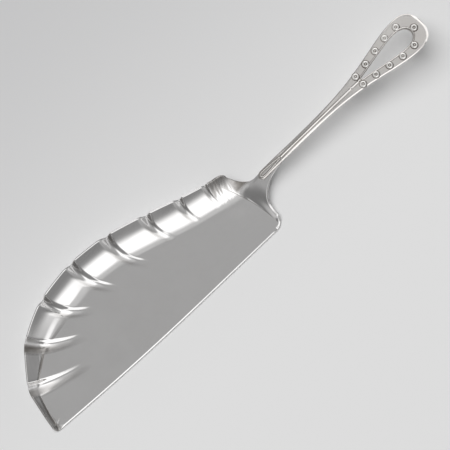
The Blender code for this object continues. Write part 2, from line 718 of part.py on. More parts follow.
def lap_cut():
    """Room under the tongue for the blade's tang."""
    lap_x = np.linspace(TONGUE_X - TONGUE_ROUND, TANG_END + FIT, LAP_LINES)
    lap_z = [spine(x) + (SHEET + FIT) * math.hypot(1.0, spine_slope(x)) for x in lap_x]
    lap = list(zip(lap_x, lap_z)) + [(lap_x[-1], -STEM_DEPTH), (lap_x[0], -STEM_DEPTH)]
    points = [(x, y, z) for y in (-STEM_WIDTH, STEM_WIDTH) for x, z in lap]
    return points, tube_faces(2, len(lap))


def round_cut(place, radius, low, high, sides):
    """Drum square to the handle's top, between two levels counted from that top."""
    x, y = place
    slope = spine_slope(x)
    ring = 2 * math.pi * np.arange(sides) / sides
    points = [(x + radius * math.cos(a) - slope * z, y + radius * math.sin(a),
               handle_top(x) + z + slope * radius * math.cos(a))
              for z in (low, high) for a in ring]
    return points, tube_faces(2, sides)


def gather(solids):
    points, faces = [], []
    for solid_points, solid_faces in solids:
        faces += [tuple(v + len(points) for v in face) for face in solid_faces]
        points += solid_points
    return points, faces


def build_handle(material):
    sections = [handle_section(float(x)) for x in handle_stations()]
    handle = mesh_object("handle", [p for s in sections for p in s],
                         tube_faces(len(sections), len(sections[0])), material)

    eye_thread = eye_outline(THREAD_MARGIN + THREAD_WIDTH / 2, EYE_THREAD_SIDES)
    rings = [thread_ring(eye_thread), thread_ring(loop_outline(LOOP_SIDES))]
    threads = cutter("thread_rings", *gather(rings))

    eye = prism(eye_outline(0.0, EYE_SIDES), 0.0, 2 * handle_top(OVERALL_LENGTH))
    lap = lap_cut()
    places = stud_places()
    through = 2 * TERMINAL_DEPTH
    bores = [round_cut(p, STUD_SHANK / 2 + FIT, -through, through, BORE_SIDES) for p in places]
    seats = [round_cut(p, STUD_HEAD / 2 + FIT, -STUD_SEAT, through, SEAT_SIDES) for p in places]
    cuts = [("lap_cut", [lap]), ("eye_cut", [eye]), ("seat_cuts", seats), ("bore_cuts", bores)]

    made = [handle, threads]
    operations = [("UNION", threads)]
    for name, solids in cuts:
        made.append(cutter(name, *gather(solids)))
        operations.append(("DIFFERENCE", made[-1]))
    for solid in made:
        face_outward(solid)
    for operation, other in operations:
        modifier = handle.modifiers.new(other.name, "BOOLEAN")
        modifier.operation = operation
        modifier.solver = "EXACT"
        modifier.object = other
    return made


def build_studs(material):
    studs = []
    points, faces = turned(stud_profile(), TURNED_SIDES)
    for number, (x, y) in enumerate(stud_places(), 1):
        stud = mesh_object(f"stud_{number:02d}", points, faces, material)
        stud.location = (x, y, float(handle_top(x)))
        stud.rotation_euler = (0.0, -math.atan(spine_slope(x)), 0.0)
        studs.append(stud)
    return studs


def main():
    for old in list(bpy.data.objects):
        bpy.data.objects.remove(old)
    blade = build_blade(silver("blade_silver", 0.12))
    face_outward(blade)
    pieces = [blade] + build_handle(silver("handle_silver", 0.18))
    pieces += build_studs(silver("stud_silver", 0.15))

    # The origin is under the middle of the object's box
    corners = np.array([v.co for v in blade.data.vertices])
    low, high = corners.min(axis=0), corners.max(axis=0)
    knife = bpy.data.objects.new("crumb_knife", None)
    bpy.context.collection.objects.link(knife)
    knife.location = (-OVERALL_LENGTH / 2, -(low[1] + high[1]) / 2, -low[2])
    for piece in pieces:
        piece.parent = knife
    print("pieces", len(pieces))


main()
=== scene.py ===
# Crumb knife on a pale table: polished silver blade with a fluted back wall, satin handle, turned studs.
import math
from types import SimpleNamespace

import bpy
import numpy as np
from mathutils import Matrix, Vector
from mathutils.kdtree import KDTree


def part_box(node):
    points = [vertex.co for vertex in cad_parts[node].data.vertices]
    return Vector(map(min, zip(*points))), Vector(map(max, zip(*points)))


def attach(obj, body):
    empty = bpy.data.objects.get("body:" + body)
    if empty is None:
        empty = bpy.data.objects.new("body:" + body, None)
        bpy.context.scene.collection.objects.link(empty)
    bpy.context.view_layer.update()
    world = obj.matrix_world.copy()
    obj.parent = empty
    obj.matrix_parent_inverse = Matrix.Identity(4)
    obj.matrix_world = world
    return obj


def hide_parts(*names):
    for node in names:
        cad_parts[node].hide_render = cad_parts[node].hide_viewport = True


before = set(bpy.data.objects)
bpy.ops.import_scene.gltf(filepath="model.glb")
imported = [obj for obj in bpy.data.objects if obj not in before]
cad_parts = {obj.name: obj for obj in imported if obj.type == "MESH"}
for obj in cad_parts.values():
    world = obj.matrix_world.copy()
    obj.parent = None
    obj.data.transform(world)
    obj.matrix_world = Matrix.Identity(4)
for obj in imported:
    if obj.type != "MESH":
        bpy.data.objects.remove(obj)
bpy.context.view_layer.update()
scene = bpy.context.scene
scene.view_settings.view_transform = "Standard"

# Shapes are worked out with x from the blade's tip and y from the handle's axis, then moved here
bladeLow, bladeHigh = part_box("blade")
handleLow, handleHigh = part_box("handle")
tipX = bladeLow.x
axisY = (handleLow.y + handleHigh.y) / 2
print("frame loaded, tip at", round(tipX, 4), "axis at", round(axisY, 5))


# Camera, as the photograph was taken

cameraSpec = {
    "elevation": 78.0,
    "turn": 44.1,            # handle's direction in the picture
    "distance": 0.80,
    "lens": 110.0,
    "sensor": 36.0, "clip": 0.01,
    "target": (-0.0067, -0.0101, 0.0),
}


def placeCamera(spec):
    turn = math.radians(spec["turn"])
    rise = math.radians(spec["elevation"])
    upward = Vector((math.sin(turn), math.cos(turn), 0.0))
    target = Vector(spec["target"])
    data = bpy.data.cameras.new("photoCamera")
    data.lens = spec["lens"]
    data.sensor_width = spec["sensor"]
    data.clip_start = spec["clip"]
    made = bpy.data.objects.new("photoCamera", data)
    scene.collection.objects.link(made)
    made.location = target + spec["distance"] * (Vector((0, 0, math.sin(rise))) - upward * math.cos(rise))
    made.rotation_euler = (target - made.location).to_track_quat("-Z", "Y").to_euler()
    scene.camera = made


placeCamera(cameraSpec)
print("camera placed")


# Runs: plane curves held as rows of points

def smoothStep(value):
    value = np.clip(value, 0.0, 1.0)
    return value * value * (3.0 - 2.0 * value)


def ramp(value, start, run):
    return smoothStep((value - start) / run)


def blend(start, end, share):
    return start + share * (end - start)


def bezierRun(start, turn, end, places):
    t = np.asarray(places)[:, None]
    start, turn, end = (np.array(p) for p in (start, turn, end))
    return (1 - t) ** 2 * start + 2 * t * (1 - t) * turn + t ** 2 * end


def splineRun(points, perSpan):
    points = np.array(points)
    padded = np.vstack([2 * points[0] - points[1], points, 2 * points[-1] - points[-2]])
    t = np.linspace(0.0, 1.0, perSpan, endpoint=False)[:, None]
    spans = []
    for a, b, c, d in zip(padded, padded[1:], padded[2:], padded[3:]):
        spans.append(b + t * (c - a) / 2 + t ** 2 * (a - 2.5 * b + 2 * c - d / 2)
                     + t ** 3 * (1.5 * (b - c) + (d - a) / 2))
    return np.vstack(spans + [points[-1:]])


def runLengths(run):
    return np.concatenate([[0.0], np.cumsum(np.linalg.norm(np.diff(run, axis=0), axis=1))])


def alongRun(run, distance):
    lengths = runLengths(run)
    return np.array([np.interp(distance, lengths, run[:, 0]),
                     np.interp(distance, lengths, run[:, 1])]).T


class RunField:
    # distance to a run, positive on its right-hand side, and the run's length at the nearest place
    def __init__(self, run):
        self.run = run
        self.lengths = runLengths(run)
        self.tree = KDTree(len(run))
        for number, (x, y) in enumerate(run):
            self.tree.insert((x, y, 0.0), number)
        self.tree.balance()

    def measure(self, points):
        near = np.array([self.tree.find((p[0], p[1], 0.0))[1] for p in points])
        best = np.full(len(points), 1e9)
        depth = np.zeros(len(points))
        length = np.zeros(len(points))
        for first in (near - 1, near):
            first = np.clip(first, 0, len(self.run) - 2)
            start = self.run[first]
            side = self.run[first + 1] - start
            gap = points - start
            share = np.clip((gap * side).sum(axis=1) / (side ** 2).sum(axis=1), 0.0, 1.0)
            rest = gap - share[:, None] * side
            distance = np.linalg.norm(rest, axis=1)
            sign = np.where(side[:, 1] * gap[:, 0] - side[:, 0] * gap[:, 1] >= 0, 1.0, -1.0)
            closer = distance < best
            best = np.where(closer, distance, best)
            depth = np.where(closer, sign * distance, depth)
            here = self.lengths[first] + share * np.linalg.norm(side, axis=1)
            length = np.where(closer, here, length)
        return depth, length


def teardropRun(length, width, offset, sides, fullness=6, steps=900, capSteps=24):
    # its tip at zero, and all of it set outwards by the offset
    share = 1 - np.linspace(1.0, 0.0, steps) ** 2
    swell = share * (1 - share ** fullness) ** 0.5
    upper = np.column_stack([length * share, width / 2 * swell / swell.max()])
    tangent = np.gradient(upper, axis=0)
    normal = np.column_stack([-tangent[:, 1], tangent[:, 0]])
    normal[-1] = (1.0, 0.0)
    normal /= np.linalg.norm(normal, axis=1)[:, None]
    start = math.atan2(normal[0, 1], normal[0, 0])
    turn = np.linspace(math.pi, start, capSteps)[:-1]
    cap = offset * np.column_stack([np.cos(turn), np.sin(turn)])
    half = np.vstack([cap, upper + offset * normal])
    count = sides // 2
    half = alongRun(half, runLengths(half)[-1] * (np.arange(count) + 0.5) / count)
    return np.vstack([half[::-1], half * (1, -1)])


# Node helpers

def feed(tree, target, source):
    # a socket is linked, anything else is set as the socket's value
    if isinstance(source, bpy.types.NodeSocket):
        tree.links.new(source, target)
    else:
        target.default_value = source


def addNode(tree, kind, inputs=None, **settings):
    node = tree.nodes.new(kind)
    for key, value in settings.items():
        setattr(node, key, value)
    for key, source in (inputs or {}).items():
        feed(tree, node.inputs[key], source)
    return node


def mathNode(tree, operation, *values):
    return addNode(tree, "ShaderNodeMath", dict(enumerate(values)), operation=operation).outputs[0]


def rangeNode(tree, value, *limits):
    # limits: from low, from high, to low, to high
    inputs = dict(enumerate((value, *limits)))
    return addNode(tree, "ShaderNodeMapRange", inputs, interpolation_type="SMOOTHSTEP").outputs[0]


def mixColour(tree, factor, first, second):
    return addNode(tree, "ShaderNodeMix", {0: factor, 6: first, 7: second}, data_type="RGBA").outputs[2]


def attributeNode(tree, label):
    return addNode(tree, "ShaderNodeAttribute", attribute_name=label).outputs["Fac"]


def noiseNode(tree, place, scale, detail):
    inputs = {"Vector": place, "Scale": scale, "Detail": detail}
    return addNode(tree, "ShaderNodeTexNoise", inputs).outputs["Fac"]


def turnedNode(tree, place, angle, scale, kind="POINT"):
    inputs = {"Vector": place, "Rotation": (0.0, 0.0, angle), "Scale": scale}
    return addNode(tree, "ShaderNodeMapping", inputs, vector_type=kind).outputs[0]


def bumpNode(tree, strength, distance, height, under=None):
    inputs = {"Strength": strength, "Distance": distance, "Height": height}
    if under is not None:
        inputs["Normal"] = under
    return addNode(tree, "ShaderNodeBump", inputs).outputs[0]


def separateNode(tree, source):
    return addNode(tree, "ShaderNodeSeparateXYZ", {0: source}).outputs


def namedNode(tree, label, kind):
    node = addNode(tree, "GeometryNodeInputNamedAttribute", {"Name": label}, data_type=kind)
    return node.outputs["Attribute"]


def newGeometryTree(name, **inputs):
    tree = bpy.data.node_groups.new(name, "GeometryNodeTree")
    for way in ("INPUT", "OUTPUT"):
        tree.interface.new_socket("Geometry", in_out=way, socket_type="NodeSocketGeometry")
    for label, kind in inputs.items():
        tree.interface.new_socket(label, in_out="INPUT", socket_type="NodeSocket" + kind)
    return tree, addNode(tree, "NodeGroupInput").outputs


def weldNode(tree, geometry, distance):
    return addNode(tree, "GeometryNodeMergeByDistance", {"Geometry": geometry, "Distance": distance}).outputs[0]


def joinNode(tree, first, second):
    node = addNode(tree, "GeometryNodeJoinGeometry", {0: first})
    feed(tree, node.inputs[0], second)
    return node.outputs[0]


def finishTree(tree, given, geometry):
    smooth = addNode(tree, "GeometryNodeSetShadeSmooth", {"Geometry": geometry}).outputs[0]
    painted = addNode(tree, "GeometryNodeSetMaterial", {"Geometry": smooth, "Material": given["Finish"]}).outputs[0]
    real = addNode(tree, "GeometryNodeRealizeInstances", {0: painted}).outputs[0]
    addNode(tree, "NodeGroupOutput", {0: real})
    return tree


def bakeTree(piece, tree, values):
    modifier = piece.modifiers.new(tree.name, "NODES")
    modifier.node_group = tree
    sockets = {item.name: item.identifier for item in tree.interface.items_tree
               if item.item_type == "SOCKET" and item.in_out == "INPUT"}
    for label, value in values.items():
        modifier[sockets[label]] = value
    graph = bpy.context.evaluated_depsgraph_get()
    mesh = bpy.data.meshes.new_from_object(piece.evaluated_get(graph), depsgraph=graph)
    piece.modifiers.remove(modifier)
    rough = piece.data
    piece.data = mesh
    mesh.name = piece.name
    bpy.data.meshes.remove(rough)


def newPiece(name, points, edges, faces, floats=None, vectors=None, origin=(tipX, axisY, 0.0)):
    mesh = bpy.data.meshes.new(name)
    placed = np.asarray(points, dtype=float) + origin
    mesh.from_pydata(placed.tolist(), edges, faces)
    for label, values in (floats or {}).items():
        made = mesh.attributes.new(label, "FLOAT", "POINT")
        made.data.foreach_set("value", np.asarray(values, dtype=np.float32))
    for label, values in (vectors or {}).items():
        made = mesh.attributes.new(label, "FLOAT_VECTOR", "POINT")
        made.data.foreach_set("vector", np.asarray(values, dtype=np.float32).ravel())
    piece = bpy.data.objects.new(name, mesh)
    scene.collection.objects.link(piece)
    return piece


# Silver finishes

# What the three finishes share
silverSpec = {
    "cloud": (55.0, 5.0),                    # scale and detail of handling marks
    "hairlines": ((0.5, (45.0, 2600.0, 900.0)), (-0.35, (60.0, 3400.0, 900.0))),
    "crease": 0.55,                          # share of a painted shade line's half width that is fully dark
    "broken": (0.3, 0.65, 0.55, 1.0),        # how the marks break up the painted shade and tarnish
    "blush": (0.35, 0.7, 0.0, 0.06),         # how they dim the bright silver
    "roughBy": (0.3, 0.72),
    "worn": (0.58, 0.75, 0.0, 0.06),         # roughness that the painted shade and tarnish add
    "dull": 0.22,                            # roughness that tarnish adds
    "scratchDepth": 0.0002,
    "wave": (38.0, 1.0), "waveDepth": 0.002,
    "markTurn": -0.55, "markScale": (0.0022, 0.016, 0.016), "detail": 2.0,
}
silver = SimpleNamespace(**silverSpec)
bladeFinish = {
    "name": "bladeSilver",
    "silver": (0.86, 0.85, 0.845, 1.0), "tarnishAndShadeColour": (0.15, 0.135, 0.12, 1.0), "metal": 1.0,
    "roughness": (0.06, 0.16), "scratch": 0.018, "waves": 0.05,
    "frost": 0.34,                           # roughness added where the first ribs have worn dull at the rim
    "beaten": 0.00022,                       # depth of the marks beaten into the wall
    "creases": (("footGap", "footShare", 0.0011), ("heelGap", "heelShare", 0.0004)),   # half widths of the painted shade lines along the creases
}
handleFinish = {
    "name": "handleSilver",
    "silver": (0.88, 0.855, 0.83, 1.0), "tarnishAndShadeColour": (0.17, 0.145, 0.125, 1.0), "metal": 0.97,
    "roughness": (0.07, 0.14), "scratch": 0.03, "waves": 0.04,
    "frost": 0.20,                           # roughness added where the plate has worn dull
}
# the studs' silver is paler and half diffuse, so they show a painted highlight that stands in for their polish
studFinish = {
    "name": "studSilver",
    "silver": (0.96, 0.945, 0.92, 1.0), "tarnishAndShadeColour": (0.16, 0.13, 0.11, 1.0), "metal": 0.5,
    "roughness": (0.12, 0.22), "scratch": 0.02, "waves": 0.0,
}


def silverMaterial(spec):
    material = bpy.data.materials.new(spec["name"])
    material.use_nodes = True
    tree = material.node_tree
    shader = tree.nodes["Principled BSDF"].inputs
    shader["Metallic"].default_value = spec["metal"]
    place = addNode(tree, "ShaderNodeTexCoord").outputs["Object"]
    cloud = noiseNode(tree, place, *silver.cloud)
    # fine hairlines from polishing, in two crossing directions
    hairs = [noiseNode(tree, turnedNode(tree, place, *way), 1.0, silver.detail) for way in silver.hairlines]
    hairline = mathNode(tree, "MAXIMUM", *hairs)

    # painted shade in the recesses, creases and sides turned from the light, with some tarnish, broken up by the
    # cloud; it darkens the colour and roughens the silver
    recess = attributeNode(tree, "recess")
    for gapName, shareName, half in spec.get("creases", ()):
        gap = mathNode(tree, "ABSOLUTE", attributeNode(tree, gapName))
        line = rangeNode(tree, gap, silver.crease * half, half, 1.0, 0.0)
        line = mathNode(tree, "MULTIPLY", line, attributeNode(tree, shareName))
        recess = mathNode(tree, "MAXIMUM", recess, line)
    dulled = mathNode(tree, "MULTIPLY", recess, rangeNode(tree, cloud, *silver.broken))
    bright = mixColour(tree, rangeNode(tree, cloud, *silver.blush), spec["silver"], spec["tarnishAndShadeColour"])
    feed(tree, shader["Base Color"], mixColour(tree, dulled, bright, spec["tarnishAndShadeColour"]))

    rough = rangeNode(tree, cloud, *silver.roughBy, *spec["roughness"])
    rough = mathNode(tree, "ADD", rough, rangeNode(tree, hairline, *silver.worn))
    rough = mathNode(tree, "ADD", rough, mathNode(tree, "MULTIPLY", dulled, silver.dull))
    if "frost" in spec:
        frost = mathNode(tree, "MULTIPLY", attributeNode(tree, "frost"), spec["frost"])
        rough = mathNode(tree, "ADD", rough, frost)
    feed(tree, shader["Roughness"], rough)

    shape = bumpNode(tree, spec["scratch"], silver.scratchDepth, hairline)
    if spec["waves"]:
        # slow unevenness of sheet that was beaten and planished by hand
        shape = bumpNode(tree, spec["waves"], silver.waveDepth, noiseNode(tree, place, *silver.wave), shape)
    if "beaten" in spec:
        turned = turnedNode(tree, place, silver.markTurn, silver.markScale, "TEXTURE")
        marks = noiseNode(tree, turned, 1.0, silver.detail)
        marks = mathNode(tree, "MULTIPLY", marks, attributeNode(tree, "beaten"))
        shape = bumpNode(tree, 1.0, spec["beaten"], marks, shape)
    feed(tree, shader["Normal"], shape)
    return material


# Blade

# Metres, with x from the blade's tip and y from the handle's axis
bladeSpec = {
    # Outline: setbacks from the heel, reaches from the axis, the rim as shares of its length and reach
    "length": 0.178, "tipDrop": 0.0225, "tipRound": 0.004, "edgeDrop": 0.0286, "edgeBow": 0.0034,
    "bowLength": 0.110, "heelRound": 0.007, "rimReach": 0.0391, "rimEndReach": 0.0178, "rimEndSetback": 0.015,
    "rimEndRound": 0.0009, "cornerReach": 0.0136, "cornerSetback": 0.0074, "throatSetback": 0.0018,
    "throatReach": 0.0032, "lobeFlat": 0.6,
    "rimShape": ((0.0045, -0.33), (0.033, 0.15), (0.132, 0.66), (0.25, 0.90),
                 (0.415, 1.0), (0.56, 0.92), (0.70, 0.735), (0.83, 0.55)),
    # Back wall, lower and sharper towards the tip
    "wallHeight": 0.0106, "wallSpread": 0.020, "wallFoot": 0.022, "wallCurve": 2.1, "wallTaper": 0.100,
    "tipWall": 0.15, "tipCurve": 1.15, "curveStart": 0.035, "curveRun": 0.045,
    "heelFall": 0.15, "heelFallLength": 0.040,
    # Sheet and its edges
    "sheet": 0.0012, "rest": 0.0001, "tipInset": (0.0031, 0.0012), "bevel": 0.0010, "bevelStart": 0.12,
    "edgeThickness": 0.0008, "easedWidth": 0.0012, "easedSlope": 0.24, "easedLeast": 0.0003,
    "heelEase": 2.2, "throatEase": 0.35,
    # Lobes from the tip to the heel, and the ribs between them
    "lobeWidths": (0.026, 0.026, 0.026, 0.026, 0.026, 0.026, 0.0215, 0.0175, 0.006),
    "ribLengths": (0.038, 0.035, 0.0325, 0.032, 0.031, 0.023, 0.0187, 0.0146),
    "ribWidth": 0.0102, "ribEndWidth": 0.0056, "ribHeight": 0.0021, "ribLean": 0.30, "ribFade": 1.5,
    "ribRoot": 6.0, "rootPower": 4, "ribBend": 0.45, "ribReach": 1.04, "ribFoot": 1.25,
    "fanX": 0.100, "fanStart": 0.070, "fanSpread": 0.74,
    "creasedRibs": 2, "creasedWay": (0.35, -0.1, 1.0), "creasedReach": 1.6,
    # Crease of the heel, heel wall and tang
    "creaseSetback": 0.0033, "creaseLean": 0.0053, "creaseLength": 0.0271, "creaseTurn": 0.105,
    "creaseBack": 0.6, "creaseShare": 0.25, "heelSlope": 0.55, "stemSlope": 0.075, "slopeEase": 0.010,
    "tangLength": 0.027, "tangRoot": 0.004, "stemWidth": 0.0048, "tongueStart": 0.006,
    # Mesh: rows along a line, lines round the outline, and steps in which curves are measured
    "rows": 46, "crowd": 0.6, "edgeRows": (0.8, 0.6, 0.42, 0.27, 0.15, 0.07, 0.02, 0.0), "footRow": 36,
    "footRowStart": 0.004, "footRowEnd": (0.060, 0.030), "footLimits": (0.05, 0.95),
    "edgeLines": 60, "cornerLines": 24, "flareLines": 44, "tangLines": 10, "throatLines": 28,
    "bendLines": 30, "lobeLines": 16, "ribLines": 27, "tipLines": 10, "borderShares": (0.0, 4 / 17, 12 / 17, 1.0),
    "rimSteps": 160, "runOnSteps": 120, "footSteps": 300, "weld": 1e-6,
    # Painted shade on ribs: across them from -1 on the tip side to 1, and the run from the rim
    "steepFrom": 0.2, "steepRun": (0.003, 0.010), "ribFootAt": (-0.55, 0.5), "ribDark": (0.75, 0.55),
    "flankAt": (-0.5, 0.55), "flankGain": 1.6, "creasedDark": (0.4, 1.15), "frostRun": (0.004, 0.007),
    "frostPower": 6,
    # Other painted shade, and hammer marks: a pair is where it starts and the run in which it comes or goes
    "tipDark": 0.55, "tipDarkEnd": (0.0035, 0.0015),
    "throatDark": 0.95, "throatStart": (-0.0095, 0.002), "throatSide": (0.002, 0.003),
    "stainDark": 0.8, "stainStart": (0.001, 0.003), "stainDepth": 0.0045, "stainFade": 0.0025,
    "streak": (0.00042, 1.6, 0.0011), "streakDepth": 0.0035, "streakShare": 0.25,
    "footOffset": 0.0006, "footDark": 0.85, "footDarkEnd": (0.050, 0.030), "footClear": 0.7,
    "heelDark": 0.6, "heelDarkStart": (0.004, 0.007),
    "beatenStart": 0.003, "beatenDepth": (0.010, 0.008), "beatenEnd": (-0.012, 0.006),
    "tipBeaten": 0.5, "tipBeatenEnd": (0.050, 0.010), "tipBeatenDepth": (-0.0015, 0.001),
}
blade = SimpleNamespace(**bladeSpec)
stemHalf = blade.stemWidth / 2
tangEnd = blade.length + blade.tangLength
lobeShares = np.cumsum(blade.lobeWidths) / np.sum(blade.lobeWidths)


def rimRun():
    shape = [(x * blade.length, y * blade.rimReach) for x, y in blade.rimShape]
    end = (blade.length - blade.rimEndSetback, blade.rimEndReach)
    run = splineRun([(0.0, -blade.tipDrop)] + shape + [end], blade.rimSteps)
    lengths = runLengths(run)
    ends = np.concatenate([[0.0], lobeShares]) * lengths[-1]
    corners = alongRun(run, ends)
    chord = np.column_stack([np.interp(lengths, ends, corners[:, axis]) for axis in (0, 1)])
    return blend(run, chord, blade.lobeFlat)


rim = rimRun()
rimLength = runLengths(rim)[-1]
rimTangent = np.gradient(rim, axis=0)
rimTangent /= np.linalg.norm(rimTangent, axis=1)[:, None]
runOn = np.linspace(0.0, 2 * blade.rimEndSetback, blade.runOnSteps)[1:, None]
rimField = RunField(np.vstack([rim, rim[-1] + runOn * rimTangent[-1]]))


def edgeY(x):
    bow = np.clip(1 - x / blade.bowLength, 0.0, 1.0)
    return -blade.edgeDrop + blade.edgeBow * bow ** 2


def creaseX(y):
    lean = (y + blade.edgeDrop - blade.heelRound / 2) / blade.creaseLength
    return blade.length - blade.creaseSetback - blade.creaseLean * np.clip(lean, 0.0, None) ** 2


def spineHeight(run):
    ease = blade.slopeEase * (1 - np.exp(-run / blade.slopeEase))
    return blade.stemSlope * run + (blade.heelSlope - blade.stemSlope) * ease


def spineLevel(x):
    return blade.rest + spineHeight(np.clip(x - creaseX(0.0), 0.0, None))


def wallGrow(length):
    # share of its full size that the wall has at a rim length from the tip
    grow = np.sin(math.pi / 2 * np.clip(length / blade.wallTaper, 0.0, 1.0)) ** 2
    return blend(blade.tipWall, 1.0, grow)


def backWall(points):
    depth, length = rimField.measure(points)
    grow = wallGrow(length)
    curve = blend(blade.tipCurve, blade.wallCurve, ramp(length, blade.curveStart, blade.curveRun))
    fall = 1 - blade.heelFall * smoothStep(1 - (rimLength - length) / blade.heelFallLength)
    past = points[:, 0] - blade.length + blade.cornerSetback
    past = past / (blade.cornerSetback + blade.tongueStart)
    rise = np.clip(1 - depth / (blade.wallSpread * grow), 0.0, None)
    return blade.wallHeight * grow * fall * (1 - smoothStep(past)) * rise ** curve


def heelFoot(points):
    x, y = points.T
    setback = blade.creaseSetback
    level = smoothStep((x - blade.length + setback) / (blade.tongueStart + setback))
    return blend(creaseX(y), creaseX(0.0), level)


def heelWall(points):
    x, y = points.T
    fade = smoothStep((y + blade.edgeDrop) / blade.heelRound)
    run = np.clip(x - heelFoot(points), 0.0, None)
    return (spineHeight(run) + blade.rest * smoothStep(run / blade.tongueStart)) * fade


def underside(points):
    return np.hypot(backWall(points), heelWall(points))


def undersideNormals(points, step=0.00006):
    slopes = []
    for shift in ((step, 0.0), (0.0, step)):
        rise = underside(points + shift) - underside(points - np.array(shift))
        slopes.append(rise / (2 * step))
    normals = np.column_stack([-slopes[0], -slopes[1], np.ones(len(points))])
    return normals / np.linalg.norm(normals, axis=1)[:, None]


# A line is one path from the floor's border to the outline, as a function of the share along it
def bladeLine(path, edge=None, rib=None, across=0.0, ease=0.0, crowd=0.0, place=None):
    return {"path": path, "edge": edge or blade.sheet, "rib": rib, "across": across,
            "ease": ease, "crowd": crowd, "place": place}


def straightPath(inner, outer):
    inner, outer = np.array(inner), np.array(outer)
    return lambda t: blend(inner, outer, t[:, None])


def kneedPath(inner, knee, outer):
    turn = blade.creaseShare
    inner, knee, outer = (np.array(p) for p in (inner, knee, outer))

    def path(t):
        first = np.clip(t / turn, 0.0, 1.0)[:, None]
        last = np.clip((t - turn) / (1 - turn), 0.0, 1.0)[:, None]
        return inner + first * (knee - inner) + last * (outer - knee)
    return path


def shares(count):
    return np.linspace(0.0, 1.0, count + 1)[1:]


def edgeLines():
    tip = (0.0, -blade.tipDrop)
    tipTurn = (0.0, edgeY(blade.tipRound / 2))
    tipEnd = (blade.tipRound, edgeY(blade.tipRound))
    tipRows = blade.tipLines
    tipCurve = bezierRun(tip, tipTurn, tipEnd, shares(tipRows))
    run = np.linspace(blade.tipRound, blade.length - blade.heelRound, blade.edgeLines + 1)[1:]
    outer = np.vstack([tipCurve, np.column_stack([run, edgeY(run)])])
    inner = outer + (0.0, blade.bevel)
    start = np.array(tip) + blade.tipInset
    inner[:tipRows] = blend(start, inner[tipRows], shares(tipRows)[:, None])
    return [bladeLine(straightPath(a, b), blade.edgeThickness) for a, b in zip(inner, outer)]


def floorBorder(y):
    return (creaseX(y) - blade.bevel, y)


def easedLine(inner, knee, outer, ease=1.0, crowd=1.0):
    return bladeLine(kneedPath(inner, knee, outer), ease=ease, crowd=crowd * blade.crowd)


def heelLines():
    lines = []
    drop, bevel, length = blade.edgeDrop, blade.bevel, blade.length
    bottom = -drop + blade.heelRound
    corner = np.array((length - blade.heelRound, bottom))
    foot = bottom - bevel
    for share in shares(blade.cornerLines):
        turn = math.pi / 2 * (share - 1)
        outer = corner + blade.heelRound * np.array((math.cos(turn), math.sin(turn)))
        innerX, innerY = blend(corner[0], floorBorder(foot)[0], share), blend(-drop + bevel, foot, share)
        path = kneedPath((innerX, innerY), (innerX + share * bevel, innerY), outer)
        ease = float(smoothStep(blade.heelEase * share))
        lines.append(bladeLine(path, blade.edgeThickness, ease=ease, crowd=share * blade.crowd))
    turnY = -blade.creaseTurn * drop
    flare = bezierRun((length, bottom), (length, -stemHalf), (tangEnd, -stemHalf), shares(blade.flareLines))
    for outer in flare:
        y = blend(foot, turnY, (outer[1] - bottom) / (-stemHalf - bottom))
        lines.append(easedLine(floorBorder(y), (creaseX(y), y), outer))
    for share in shares(blade.tangLines)[:-1]:
        y = blend(turnY, -stemHalf, share)
        outer = (tangEnd, (2 * share - 1) * stemHalf)
        lines.append(easedLine(floorBorder(y), (creaseX(y), y), outer, 0.0))
    return lines


def shoulderLines():
    length = blade.length
    root = (length + blade.tangRoot, stemHalf)
    corner = (length - blade.cornerSetback, blade.cornerReach)
    rimEnd = rim[-1]
    tangX = np.linspace(tangEnd, root[0], blade.tangLines + 1)[:-1]
    tang = np.column_stack([tangX, np.full(len(tangX), stemHalf)])
    throatTurn = (length - blade.throatSetback, blade.throatReach)
    throat = bezierRun(root, throatTurn, corner, np.linspace(0, 1, blade.throatLines + 1)[:-1])
    bendTurn = (corner[0], rimEnd[1] - blade.rimEndRound)
    bend = bezierRun(corner, bendTurn, rimEnd, np.linspace(0, 1, blade.bendLines + 1))
    outer = np.vstack([tang, throat, bend])
    # the solid has the same shares along the floor's border, so the crease lies in the same place
    ends = np.cumsum((blade.tangLines, blade.throatLines, blade.bendLines))
    number = np.arange(len(outer))
    share = np.interp(number, (0, *ends), blade.borderShares)
    back = blade.creaseBack
    kneeY = -stemHalf + share * (blade.cornerReach - stemHalf) * back
    knee = np.column_stack([creaseX(kneeY), kneeY])
    innerStart = np.array(floorBorder(-stemHalf))
    innerEnd = rimEnd - (0.0, blade.wallFoot)
    inner = blend(innerStart, innerEnd, share[:, None])
    kneeEnd = blend(innerEnd, rimEnd, blade.creaseShare)
    knee = blend(knee, kneeEnd, ramp(share, back, 1 - back)[:, None])
    crowd = np.interp(number, ends[1:], (1.0, 0.0))
    ease = np.interp(number, (0, *ends), (1.0, blade.throatEase, blade.throatEase, 0.0))
    return [easedLine(*line) for line in zip(inner, knee, outer, ease, crowd)]


def ribMove(rib, across, t):
    # move from the rim at a share t inwards, on one side line of a rib
    t = np.asarray(t)[:, None]
    return 2 * t * (1 - t) * rib["control"] + t ** 2 * rib["aim"] + across * t * rib["narrow"]


def ribHeightAt(rib, across, t):
    fade = np.clip(1 - t * rib["reach"] / rib["ribLength"], 0.0, 1.0)
    bump = 0.5 + 0.5 * math.cos(math.pi * (across - blade.ribLean * (1 - across ** 2)))
    wall = backWall(rib["start"] + ribMove(rib, 0.0, t))
    root = np.clip(rib["rise"] * fade ** blade.ribRoot - wall, 0.0, None)   # rim height carried out
    return bump * rib["height"] * fade ** blade.ribFade + root * (1 - across ** blade.rootPower) ** 2


